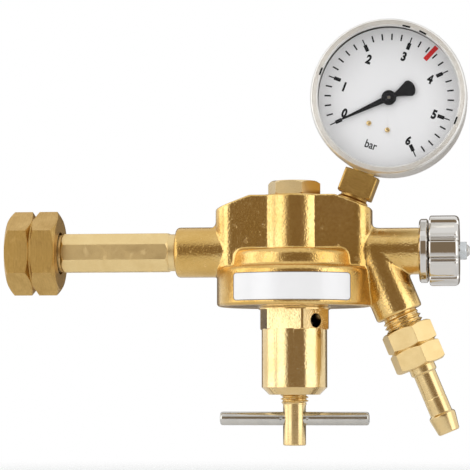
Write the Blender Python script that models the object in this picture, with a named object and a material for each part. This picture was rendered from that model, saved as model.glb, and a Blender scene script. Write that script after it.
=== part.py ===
"""Propane cylinder regulator: forged brass body, inlet stem with its left-hand union nut, adjusting screw
in its spring bonnet, outlet pressure gauge, shut-off valve and hose tail.

Metres, +Z up. The origin is the middle of the inlet seal's front face, and gas enters along +X.
The gauge dial and the bare label plate face -Y. The main axis is vertical, MAIN_X from the origin.
"""

import math

import bmesh
import bpy
from mathutils import Matrix, Vector

MM = 0.001

# Clearances
SEAT_GAP = 0.3 * MM
FIT_GAP = 0.12 * MM
RUN_GAP = 0.08 * MM

# Facets round a full turn
FINE_STEPS = 36
ROUND_STEPS = 20
SMALL_STEPS = 12
TINY_STEPS = 8

# Layout
MAIN_X = 106.0 * MM
GAUGE_TILT = math.radians(21.0)
GAUGE_AXIS_X = MAIN_X + 16.0 * MM
BRANCH_TILT = math.radians(22.5)
BRANCH_X = MAIN_X + 32.3 * MM

# Inlet seal, stem and filter
SEAL_RADIUS = 9.2 * MM
SEAL_BORE = 6.2 * MM
SEAL_THICK = 2.0 * MM
NOSE_RADIUS = SEAL_BORE - FIT_GAP
NOSE_PROUD = 1.0 * MM
STEM_COLLAR_RADIUS = 9.3 * MM
STEM_COLLAR_LENGTH = 2.4 * MM
STEM_NECK_RADIUS = 7.6 * MM
STEM_FLATS = 15.7 * MM
STEM_CORNERS = 16.8 * MM
STEM_FLATS_START = 9.6 * MM
STEM_FLATS_END = 55.4 * MM
STEM_RUNOUT = 1.6 * MM
STEM_SPIGOT_RADIUS = 6.6 * MM
STEM_SPIGOT_LENGTH = 12.0 * MM
STEM_BORE = 3.2 * MM
FILTER_RADIUS = 4.6 * MM
FILTER_LENGTH = 5.0 * MM
FILTER_CLIP_THICK = 0.8 * MM

# Inlet union nut
NUT_FLATS = 30.0 * MM
NUT_START = -11.8 * MM
NUT_END = 9.0 * MM
NUT_SOCKET_RADIUS = 9.8 * MM
NUT_BACK_BORE = 8.75 * MM
NUT_GROOVE_RADIUS = 14.7 * MM
NUT_GROOVE_HALF_WIDTH = 1.5 * MM
NUT_CHAMFER = 1.5 * MM

# Forged body: block and bosses
INLET_BOSS_RADIUS = 10.3 * MM
INLET_BOSS_START = 57.6 * MM
BLOCK_HALF_LENGTH = 31.8 * MM
BLOCK_HALF_DEPTH = 11.0 * MM
BLOCK_CORNER = 7.0 * MM
BLOCK_TOP = 22.8 * MM
BLOCK_BOTTOM = -8.0 * MM
BLOCK_SLOPE_START = 17.4 * MM
CORE_RADIUS = 14.5 * MM
BOSS_ROOT = 12.0 * MM
VALVE_BOSS_RADIUS = 9.5 * MM
VALVE_BOSS_END = 156.8 * MM
BRANCH_RADIUS = 9.75 * MM
BRANCH_LENGTH = 27.8 * MM
BRANCH_THREAD_RADIUS = 7.9 * MM
BRANCH_THREAD_END = 41.0 * MM
WEB_FILLET = 3.2 * MM
WEB_HALF_DEPTH = 4.0 * MM

# Forged body: diaphragm bowl
BOWL_RADIUS = 31.6 * MM
BOWL_TOP = -6.6 * MM
BOWL_BOTTOM = -22.5 * MM
BOWL_EDGE = 1.2 * MM
BOWL_ROLL = 2.4 * MM
SHOULDER_ROLL = 3.0 * MM
SHOULDER_STEP = 6.0 * MM
SHOULDER_RADIUS = BOWL_RADIUS - SHOULDER_STEP
SHOULDER_TOP = 0.6 * MM
SKIRT_WALL = 4.6 * MM
SKIRT_BORE = BOWL_RADIUS - SKIRT_WALL
CLAMP_STEP = -11.0 * MM
CLAMP_WIDTH = 4.5 * MM
CHAMBER_RADIUS = SKIRT_BORE - CLAMP_WIDTH
CHAMBER_TOP = -6.4 * MM

# Gas ways inside the body
WAY_RADIUS = 2.6 * MM
INLET_WAY_RADIUS = 3.0 * MM
POPPET_ROOM_RADIUS = 7.4 * MM
POPPET_ROOM_FLOOR = -3.0 * MM
CAP_BORE_DEPTH = 12.6 * MM
VALVE_ROOM_RADIUS = 5.2 * MM
VALVE_SEAT_X = MAIN_X + 26.5 * MM
OUTLET_WAY_RADIUS = 4.2 * MM
GAUGE_PORT_DEPTH = 9.5 * MM

# Poppet valve
SEAT_RADIUS = 4.4 * MM
SEAT_TOP = 2.4 * MM
SEAT_BORE = 2.0 * MM
SEAT_FLANGE_RADIUS = 5.6 * MM
SEAT_FLANGE = 1.6 * MM
POPPET_RADIUS = 5.0 * MM
POPPET_LENGTH = 3.6 * MM
POPPET_STEM_RADIUS = 1.8 * MM
POPPET_STEM_LENGTH = 10.0 * MM
POPPET_PAD_RADIUS = 3.6 * MM
POPPET_PAD_THICK = 1.2 * MM
POPPET_PIN_RADIUS = 1.1 * MM
POPPET_WIRE = 0.35 * MM
POPPET_COIL_RADIUS = 3.2 * MM
POPPET_TURNS = 5

# Valve cap
CAP_FLATS = 19.0 * MM
CAP_HEIGHT = 5.6 * MM
CAP_TURN = math.radians(-8.0)
CAP_SHANK_RADIUS = 8.0 * MM
CAP_SHANK_LENGTH = 11.0 * MM
CAP_GUIDE_RADIUS = 4.2 * MM
CAP_GUIDE_DEPTH = 8.0 * MM
CAP_SEAL_THICK = 0.8 * MM
CAP_SEAL_RADIUS = 9.0 * MM
CAP_RECESS = CAP_SEAL_THICK + 2 * SEAT_GAP - 0.2 * MM
CORE_PROUD = 0.2 * MM

# Diaphragm and its plates
DIAPHRAGM_THICK = 1.4 * MM
DIAPHRAGM_CENTRE_BORE = 2.6 * MM
CONVOLUTION_WIDTH = 2.0 * MM
CONVOLUTION_RADIUS = CHAMBER_RADIUS - CONVOLUTION_WIDTH - SEAT_GAP
CONVOLUTION_HEIGHT = 1.5 * MM
PLATE_RADIUS = CONVOLUTION_RADIUS - CONVOLUTION_WIDTH - 2 * SEAT_GAP
PLATE_THICK = 1.6 * MM
PLATE_RIM = 1.2 * MM
BUTTON_RADIUS = 6.0 * MM
BUTTON_THICK = 1.2 * MM
RIVET_RADIUS = 2.4 * MM
SPRING_SPIGOT_RADIUS = 6.4 * MM
SPRING_SPIGOT_HEIGHT = 2.0 * MM

# Main spring, screw and bonnet
MAIN_WIRE = 1.25 * MM
MAIN_COIL_RADIUS = 8.1 * MM
MAIN_TURNS = 7
BONNET_DISC_TOP = CLAMP_STEP - SEAT_GAP - DIAPHRAGM_THICK - SEAT_GAP
BONNET_POCKET_RADIUS = CHAMBER_RADIUS - FIT_GAP
BONNET_POCKET_DEPTH = 4.4 * MM
BONNET_HEX_FLATS = 25.6 * MM
BONNET_HEX_TURN = math.radians(-12.0)
BONNET_HEX_TOP = -23.6 * MM
BONNET_HEX_BOTTOM = -31.8 * MM
BONNET_HEX_CORNERS = 29.0 * MM
BONNET_COLLAR_RADIUS = 14.6 * MM
BONNET_RADIUS = 13.35 * MM
BONNET_BOTTOM = -58.2 * MM
BONNET_CHAMFER = 3.0 * MM
BONNET_BORE = 10.4 * MM
BONNET_FLOOR = -53.4 * MM
VENT_RADIUS = 2.9 * MM
VENT_Z = -28.3 * MM
VENT_TURN = math.radians(48.0)
SCREW_THREAD_RADIUS = 5.7 * MM
SCREW_THREAD_END = -62.2 * MM
SCREW_SHANK_RADIUS = 4.65 * MM
SCREW_BOTTOM = -78.8 * MM
SCREW_TIP_Z = -51.4 * MM
SPRING_SEAT_RADIUS = 9.9 * MM
SPRING_SEAT_THICK = 2.0 * MM
SPRING_SEAT_TOP = -48.6 * MM
BAR_RADIUS = 2.75 * MM
BAR_LENGTH = 60.8 * MM
BAR_Z = -67.9 * MM
BAR_CHAMFER = 0.8 * MM

# Label plate
LABEL_WIDTH = 46.0 * MM
LABEL_HEIGHT = 11.2 * MM
LABEL_Z = (BOWL_TOP - BOWL_ROLL + BOWL_BOTTOM + BOWL_EDGE) / 2
LABEL_THICK = 0.6 * MM
LABEL_TURN = math.radians(3.0)
LABEL_CORNER = 1.5 * MM

# Gauge, seen along its own axis: +Z to the front, +Y up the dial, origin where the socket meets the axis
CASE_RADIUS = 31.0 * MM
CASE_BACK = -9.5 * MM
CASE_FRONT = 13.6 * MM
CASE_WALL = 0.9 * MM
BEZEL_WALL = 0.5 * MM
BEZEL_RADIUS = CASE_RADIUS + BEZEL_WALL
BEZEL_FRONT = 18.0 * MM
BEZEL_SKIRT = 5.0 * MM
BEZEL_LIP = BEZEL_RADIUS - 3.2 * MM
WINDOW_THICK = 1.8 * MM
DIAL_RADIUS = CASE_RADIUS - CASE_WALL - 1.5 * MM
DIAL_FRONT = 10.6 * MM
DIAL_THICK = 0.8 * MM
POINTER_LIFT = 0.9 * MM
POINTER_THICK = 0.5 * MM
POINTER_LENGTH = 22.6 * MM
POINTER_TAIL = 9.6 * MM
POINTER_HUB_RADIUS = 3.0 * MM
ARBOR_RADIUS = 0.8 * MM
ARBOR_BORE = 1.0 * MM
ZERO_ANGLE = math.radians(225.0)
DIAL_SCREW_RADIUS = 1.1 * MM
DIAL_SCREW_SPREAD = 4.0 * MM
DIAL_SCREW_INSET = 1.7 * MM
SOCKET_SQUARE = 14.0 * MM
SOCKET_CORNER = 1.0 * MM
SOCKET_TOP = CASE_RADIUS + 2 * SEAT_GAP
SOCKET_LENGTH = 9.8 * MM
SOCKET_NECK = 2.5 * MM
SOCKET_BOTTOM = SOCKET_TOP + SOCKET_LENGTH
SOCKET_NECK_RADIUS = 4.6 * MM
SOCKET_THREAD_RADIUS = 6.4 * MM
SOCKET_HEAD_LENGTH = 10.0 * MM
SOCKET_HEAD_WIDTH = 12.0 * MM
SOCKET_HEAD_THICK = 3.4 * MM
SOCKET_HEAD_DEEP = 16.0 * MM
SOCKET_HEAD_TOP = CASE_RADIUS - SOCKET_HEAD_DEEP
TUBE_INSET = 10.5 * MM
TUBE_ARC_RADIUS = CASE_RADIUS - TUBE_INSET
TUBE_HALF_WIDTH = 4.2 * MM
TUBE_HALF_THICK = 1.1 * MM
TUBE_SWEEP = math.radians(245.0)
MOVEMENT_WIDTH = 17.0 * MM
MOVEMENT_HEIGHT = 21.0 * MM
MOVEMENT_RISE = 0.9 * MM
MOVEMENT_DEPTH = 8.0 * MM
MOVEMENT_PLATE = 1.0 * MM

TUBE_START = math.asin((SOCKET_HEAD_WIDTH / 2 + SEAT_GAP) / (TUBE_ARC_RADIUS - TUBE_HALF_THICK))
MOVEMENT_DOWN = SOCKET_HEAD_TOP - MOVEMENT_RISE - MOVEMENT_HEIGHT / 2
DIAL_SCREW_DOWN = MOVEMENT_DOWN + MOVEMENT_HEIGHT / 2 - DIAL_SCREW_INSET

# Shut-off valve
COLLAR_RADIUS = 13.0 * MM
COLLAR_LENGTH = 3.6 * MM
COLLAR_SHANK_RADIUS = 7.6 * MM
COLLAR_SHANK_LENGTH = 8.0 * MM
SPINDLE_RADIUS = 3.0 * MM
SPINDLE_HEAD_RADIUS = 4.4 * MM
SPINDLE_HEAD_LENGTH = 5.0 * MM
SPINDLE_PROUD = 1.3 * MM
ORING_WIRE = 0.9 * MM
PLUG_RADIUS = 4.2 * MM
PLUG_THICK = 2.4 * MM
KNOB_RADIUS = 14.4 * MM
KNOB_START = 161.2 * MM
KNOB_LENGTH = 12.0 * MM
KNOB_LOBES = 10
KNOB_GROOVE_WIDTH = 2.0 * MM
KNOB_GROOVE_DEPTH = 1.2 * MM
KNOB_WALL = 2.2 * MM
KNOB_RIM = 1.6 * MM
KNOB_NUT_FLATS = 7.0 * MM
KNOB_NUT_HEIGHT = 2.6 * MM
SPINDLE_END = KNOB_START + KNOB_LENGTH + SEAT_GAP + KNOB_NUT_HEIGHT + SPINDLE_PROUD
VALVE_PITCH = 1.25 * MM
VALVE_TURNS = 2

# Outlet nut and hose tail, measured along the branch from its start
HOSE_NUT_FLATS = 19.0 * MM
HOSE_NUT_START = 33.6 * MM
HOSE_NUT_END = 50.6 * MM
HOSE_NUT_GROOVE_RADIUS = 9.2 * MM
HOSE_NUT_TURN = math.radians(14.0)
HOSE_NUT_BACK_BORE = 5.6 * MM
TAIL_HEAD_RADIUS = 7.2 * MM
TAIL_HEAD_LENGTH = 2.6 * MM
TAIL_CONE_LENGTH = 3.0 * MM
TAIL_COLLAR_RADIUS = 5.4 * MM
TAIL_COLLAR_END = 53.6 * MM
TAIL_SHANK_RADIUS = 4.6 * MM
TAIL_BARB_RADIUS = 5.5 * MM
TAIL_TIP_RADIUS = 4.2 * MM
TAIL_BARB_LENGTH = 8.4 * MM
TAIL_END = 79.4 * MM
TAIL_BORE = 2.75 * MM

# Colours
FORGED_BRASS = ("forged_brass", (0.74, 0.53, 0.22), 0.22, 1.0)
TURNED_BRASS = ("turned_brass", (0.80, 0.62, 0.33), 0.28, 1.0)
SATIN_BRASS = ("satin_brass", (0.60, 0.44, 0.21), 0.42, 1.0)
PLATED = ("plated_steel", (0.78, 0.77, 0.75), 0.12, 1.0)
STEEL = ("plain_steel", (0.55, 0.55, 0.56), 0.35, 1.0)
CASE_STEEL = ("case_steel", (0.74, 0.72, 0.69), 0.25, 1.0)
RUBBER = ("black_rubber", (0.03, 0.03, 0.03), 0.7, 0.0)
FIBRE = ("seal_fibre", (0.32, 0.14, 0.09), 0.8, 0.0)
WHITE_ENAMEL = ("white_enamel", (0.88, 0.88, 0.89), 0.4, 0.0)
BLACK_ENAMEL = ("black_enamel", (0.02, 0.02, 0.02), 0.4, 0.0)
CLEAR = ("clear_window", (0.95, 0.96, 0.97), 0.05, 0.0)
SINTERED = ("sintered_bronze", (0.45, 0.30, 0.16), 0.8, 1.0)

# Frames
ALONG_X = Matrix.Rotation(math.pi / 2, 4, "Y")
MAIN = Matrix.Translation((MAIN_X, 0, 0))
BRANCH = Matrix.Translation((BRANCH_X, 0, 0)) @ Matrix.Rotation(math.pi - BRANCH_TILT, 4, "Y")
GAUGE_WAY = Vector((math.sin(GAUGE_TILT), 0, math.cos(GAUGE_TILT)))
SLOPE_ACROSS = (BLOCK_SLOPE_START + MAIN_X - GAUGE_AXIS_X) * math.sin(GAUGE_TILT)
SLOPE_REACH = SLOPE_ACROSS + BLOCK_TOP * math.cos(GAUGE_TILT)
GAUGE_REACH = SLOPE_REACH + SOCKET_NECK + SOCKET_BOTTOM
GAUGE_CENTRE = Vector((GAUGE_AXIS_X, 0, 0)) + GAUGE_WAY * GAUGE_REACH
GAUGE = (
    Matrix.Translation(GAUGE_CENTRE)
    @ Matrix.Rotation(GAUGE_TILT, 4, "Y")
    @ Matrix.Rotation(math.pi / 2, 4, "X")
)
SOCKET = Matrix.Translation(GAUGE_CENTRE) @ Matrix.Rotation(math.pi + GAUGE_TILT, 4, "Y")


def clear_scene():
    """Removes whatever the file starts with."""
    for obj in list(bpy.data.objects):
        bpy.data.objects.remove(obj, do_unlink=True)


def finish(spec):
    """A Principled material for one of the finishes above."""
    name, colour, roughness, metallic = spec
    found = bpy.data.materials.get(name)
    if found:
        return found
    made = bpy.data.materials.new(name)
    made.use_nodes = True
    shader = made.node_tree.nodes["Principled BSDF"]
    shader.inputs["Base Color"].default_value = (*colour, 1.0)
    shader.inputs["Roughness"].default_value = roughness
    shader.inputs["Metallic"].default_value = metallic
    return made


def closed_mesh(name, bm):
    """Turns a bmesh into a mesh datablock with merged points and outward normals."""
    bmesh.ops.remove_doubles(bm, verts=bm.verts, dist=1e-7)
    bmesh.ops.dissolve_degenerate(bm, edges=bm.edges, dist=1e-8)
    bmesh.ops.recalc_face_normals(bm, faces=bm.faces)
    mesh = bpy.data.meshes.new(name)
    bm.to_mesh(mesh)
    bm.free()
    mesh.shade_smooth()
    mesh.set_sharp_from_angle(angle=math.radians(32))
    return mesh


def turned(profile, steps=ROUND_STEPS, ring=False):
    """A solid turned about local Z from (radius, height) points; a ring's profile closes on itself."""
    bm = bmesh.new()
    points = [bm.verts.new((radius, 0, height)) for radius, height in profile]
    edges = [bm.edges.new(pair) for pair in zip(points, points[1:])]
    if ring:
        edges.append(bm.edges.new((points[-1], points[0])))
    bmesh.ops.spin(
        bm, geom=points + edges, cent=(0, 0, 0), axis=(0, 0, 1), angle=math.tau, steps=steps, use_merge=True
    )
    return closed_mesh("turned", bm)


def rod(radius, low, high, steps=ROUND_STEPS):
    """A plain cylinder about local Z."""
    return turned([(0, low), (radius, low), (radius, high), (0, high)], steps)


def tube(outer, inner, low, high, steps=ROUND_STEPS):
    """A plain tube about local Z."""
    return turned([(inner, low), (outer, low), (outer, high), (inner, high)], steps, ring=True)


def prism(outline, low, high):
    """An outline of (x, y) points extruded along local Z."""
    bm = bmesh.new()
    base = bm.faces.new([bm.verts.new((x, y, low)) for x, y in outline])
    grown = bmesh.ops.extrude_face_region(bm, geom=[base])
    top = [part for part in grown["geom"] if isinstance(part, bmesh.types.BMVert)]
    bmesh.ops.translate(bm, verts=top, vec=(0, 0, high - low))
    return closed_mesh("prism", bm)


def polygon(sides, flats, turn=0.0):
    """A regular polygon of that width across flats, with the middle of one flat at angle turn."""
    radius = flats / 2 / math.cos(math.pi / sides)
    angles = [turn + math.tau * (k + 0.5) / sides for k in range(sides)]
    return [(radius * math.cos(a), radius * math.sin(a)) for a in angles]


def arc(x, y, radius, start, end, steps):
    """Points on a round stretch of an outline, from start to end in degrees."""
    angles = [math.radians(start + (end - start) * k / steps) for k in range(steps + 1)]
    return [(x + radius * math.cos(a), y + radius * math.sin(a)) for a in angles]


def rounded_box(width, height, corner, steps=4):
    """A rectangle about the origin with round corners."""
    x = width / 2 - corner
    y = height / 2 - corner
    corners = ((x, y, 0), (-x, y, 90), (-x, -y, 180), (x, -y, 270))
    return [point for cx, cy, a in corners for point in arc(cx, cy, corner, a, a + 90, steps)]


def coil(wire, radius, turns, low, high, around=20, sides=8):
    """A compression spring about local Z, with its end turns closed up, as one swept tube."""
    bm = bmesh.new()
    count = turns * around
    closed_turns = 1.0
    pitch = (high - low - 2 * wire - 2 * closed_turns * 2.05 * wire) / (turns - 2 * closed_turns)
    rings = []
    for k in range(count + 1):
        turn = k / around
        angle = math.tau * turn
        below = min(turn, closed_turns)
        middle = min(max(turn - closed_turns, 0), turns - 2 * closed_turns)
        above = max(turn - (turns - closed_turns), 0)
        height = low + wire + (below + above) * 2.05 * wire + middle * pitch
        out = Vector((math.cos(angle), math.sin(angle), 0))
        centre = out * radius + Vector((0, 0, height))
        ring = []
        for side in range(sides):
            a = math.tau * side / sides
            ring.append(bm.verts.new(centre + out * wire * math.cos(a) + Vector((0, 0, wire * math.sin(a)))))
        rings.append(ring)
    for first, second in zip(rings, rings[1:]):
        for side in range(sides):
            after = (side + 1) % sides
            bm.faces.new((first[side], first[after], second[after], second[side]))
    bm.faces.new(rings[0])
    bm.faces.new(reversed(rings[-1]))
    return closed_mesh("coil", bm)


def place(name, mesh, spec, frame):
    """A named piece of the regulator, standing in its own frame."""
    obj = bpy.data.objects.new(name, mesh)
    bpy.context.scene.collection.objects.link(obj)
    obj.matrix_world = frame
    if spec:
        mesh.materials.clear()
        mesh.materials.append(finish(spec))
    return obj


def shaped(obj, operation, mesh, frame=None):
    """Joins, cuts or limits a piece by a hidden shape, which stands in the piece's frame unless given one."""
    tool = place(f"shape_for_{obj.name}", mesh, None, frame or obj.matrix_world)
    tool.hide_render = True
    tool.display_type = "WIRE"
    modifier = obj.modifiers.new(operation.title(), "BOOLEAN")
    modifier.operation = operation
    modifier.solver = "EXACT"
    modifier.object = tool
    return tool


def hex_nut(name, flats, turn, profile, spec, frame, sides=6):
    """A nut turned from hexagon bar: the bar's prism kept inside its turned profile."""
    low = min(height for _, height in profile)
    high = max(height for _, height in profile)
    obj = place(name, prism(polygon(sides, flats, turn), low - MM, high + MM), spec, frame)
    shaped(obj, "INTERSECT", turned(profile, FINE_STEPS, ring=True))
    return obj


def grooved_profile(flats, start, end, groove, half_width, groove_radius, chamfer, inside):
    """The turned profile of a left-hand nut: chamfered ends and a V-groove that marks the thread."""
    corner = flats / math.sqrt(3) + 0.02 * MM
    flat = flats / 2
    slope = half_width / (corner - groove_radius)
    outer = [
        (flat - 0.3 * MM, start),
        (corner, start + chamfer),
        (corner, groove - half_width),
        (groove_radius, groove - 0.1 * slope * half_width),
        (groove_radius, groove + 0.1 * slope * half_width),
        (corner, groove + half_width),
        (corner, end - chamfer),
        (flat - 0.3 * MM, end),
    ]
    return outer + inside


def inlet_group():
    """Union nut, stem, seal, and the filter with its clip in the stem's mouth."""
    place(
        "inlet_seal",
        tube(SEAL_RADIUS, SEAL_BORE, 0, SEAL_THICK, ROUND_STEPS),
        RUBBER,
        ALONG_X,
    )
    collar_start = SEAL_THICK + SEAT_GAP
    collar_end = collar_start + STEM_COLLAR_LENGTH
    stem_end = INLET_BOSS_START + STEM_SPIGOT_LENGTH
    shoulder = INLET_BOSS_START - SEAT_GAP
    stem = place(
        "inlet_stem",
        prism(polygon(8, STEM_FLATS, 0), STEM_FLATS_START, STEM_FLATS_END),
        TURNED_BRASS,
        ALONG_X,
    )
    half = STEM_CORNERS / 2
    buried = STEM_NECK_RADIUS - SEAT_GAP
    barrel = [
        (0, STEM_FLATS_START),
        (buried, STEM_FLATS_START),
        (half, STEM_FLATS_START + STEM_RUNOUT),
        (half, STEM_FLATS_END - STEM_RUNOUT),
        (buried, STEM_FLATS_END),
        (0, STEM_FLATS_END),
    ]
    shaped(stem, "INTERSECT", turned(barrel, FINE_STEPS))
    overlap = 2 * MM
    head = [
        (0, -NOSE_PROUD),
        (NOSE_RADIUS - 0.5 * MM, -NOSE_PROUD),
        (NOSE_RADIUS, -NOSE_PROUD + 0.5 * MM),
        (NOSE_RADIUS, collar_start),
        (STEM_COLLAR_RADIUS, collar_start),
        (STEM_COLLAR_RADIUS, collar_end),
        (STEM_NECK_RADIUS, collar_end),
        (STEM_NECK_RADIUS, STEM_FLATS_START + STEM_RUNOUT / 2),
        (STEM_NECK_RADIUS - MM, STEM_FLATS_START + overlap),
        (0, STEM_FLATS_START + overlap),
    ]
    shaped(stem, "UNION", turned(head, ROUND_STEPS))
    foot = [
        (0, STEM_FLATS_END - overlap),
        (STEM_NECK_RADIUS - MM, STEM_FLATS_END - overlap),
        (STEM_NECK_RADIUS, STEM_FLATS_END - STEM_RUNOUT / 2),
        (STEM_NECK_RADIUS, shoulder),
        (STEM_SPIGOT_RADIUS, shoulder),
        (STEM_SPIGOT_RADIUS, stem_end - 0.6 * MM),
        (STEM_SPIGOT_RADIUS - 0.6 * MM, stem_end),
        (0, stem_end),
    ]
    shaped(stem, "UNION", turned(foot, ROUND_STEPS))
    filter_room = FILTER_LENGTH + FILTER_CLIP_THICK + 3 * SEAT_GAP
    bore = [
        (0, -NOSE_PROUD - MM),
        (FILTER_RADIUS + FIT_GAP, -NOSE_PROUD - MM),
        (FILTER_RADIUS + FIT_GAP, filter_room),
        (STEM_BORE, filter_room),
        (STEM_BORE, stem_end + MM),
        (0, stem_end + MM),
    ]
    shaped(stem, "DIFFERENCE", turned(bore, SMALL_STEPS))
    filter_end = filter_room - SEAT_GAP
    filter_profile = [
        (0, filter_end - FILTER_LENGTH + 1.6 * MM),
        (1.4 * MM, filter_end - FILTER_LENGTH + 1.0 * MM),
        (FILTER_RADIUS - 1.2 * MM, filter_end - FILTER_LENGTH),
        (FILTER_RADIUS, filter_end - FILTER_LENGTH),
        (FILTER_RADIUS, filter_end),
        (0, filter_end),
    ]
    place("inlet_filter", turned(filter_profile, SMALL_STEPS), SINTERED, ALONG_X)
    clip_end = filter_end - FILTER_LENGTH - SEAT_GAP
    place(
        "filter_clip",
        tube(FILTER_RADIUS, FILTER_RADIUS - 1.3 * MM, clip_end - FILTER_CLIP_THICK, clip_end, SMALL_STEPS),
        STEEL,
        ALONG_X,
    )
    socket_end = collar_end + SEAT_GAP
    inside = [
        (NUT_BACK_BORE, NUT_END),
        (NUT_BACK_BORE, socket_end),
        (NUT_SOCKET_RADIUS, socket_end),
        (NUT_SOCKET_RADIUS, NUT_START + 0.9 * MM),
        (NUT_SOCKET_RADIUS + 0.9 * MM, NUT_START),
    ]
    profile = grooved_profile(
        NUT_FLATS,
        NUT_START,
        NUT_END,
        (NUT_START + NUT_END) / 2,
        NUT_GROOVE_HALF_WIDTH,
        NUT_GROOVE_RADIUS,
        NUT_CHAMFER,
        inside,
    )
    hex_nut("inlet_union_nut", NUT_FLATS, math.pi / 2, profile, SATIN_BRASS, ALONG_X)


def block_plan():
    """The forged block seen from above: flat faces and well rounded upright corners."""
    return rounded_box(2 * BLOCK_HALF_LENGTH, 2 * BLOCK_HALF_DEPTH, BLOCK_CORNER, 5)


def block_front():
    """The forged block seen from the front: a flat top that slopes down square to the gauge's axis."""
    run = BLOCK_HALF_LENGTH + MM - BLOCK_SLOPE_START
    side = BLOCK_TOP - run * math.tan(GAUGE_TILT)
    reach = BLOCK_HALF_LENGTH + MM
    foot = -9.0 * MM
    return [
        (-reach, foot),
        (reach, foot),
        (reach, side),
        (BLOCK_SLOPE_START, BLOCK_TOP),
        (-BLOCK_SLOPE_START, BLOCK_TOP),
        (-reach, side),
    ]


def bowl_profile():
    """The diaphragm bowl and its rolled shoulder, turned solid."""
    crown = arc(SHOULDER_RADIUS - SHOULDER_ROLL, SHOULDER_TOP - SHOULDER_ROLL, SHOULDER_ROLL, 90, 0, 5)
    edge = arc(BOWL_RADIUS - BOWL_ROLL, BOWL_TOP - BOWL_ROLL, BOWL_ROLL, 90, 0, 5)
    return (
        [(0, SHOULDER_TOP)]
        + crown
        + [(SHOULDER_RADIUS + 0.4 * MM, BOWL_TOP + 0.9 * MM), (SHOULDER_RADIUS + 1.3 * MM, BOWL_TOP)]
        + edge
        + [
            (BOWL_RADIUS, BOWL_BOTTOM + BOWL_EDGE),
            (BOWL_RADIUS - BOWL_EDGE, BOWL_BOTTOM),
            (0, BOWL_BOTTOM),
        ]
    )


def web_outline(boss, side):
    """A concave fillet between a boss of that radius and the block's end, as an outline in X and Z."""
    x = BLOCK_HALF_LENGTH - MM
    z = boss - MM
    far = BLOCK_HALF_LENGTH + WEB_FILLET
    high = math.sqrt(boss**2 - WEB_HALF_DEPTH**2) + WEB_FILLET
    outline = [(x, z - MM)] + [(far, z - MM)] + arc(far, high, WEB_FILLET, 270, 180, 6) + [(x, high)]
    return [(side * along, up) for along, up in outline]


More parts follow.
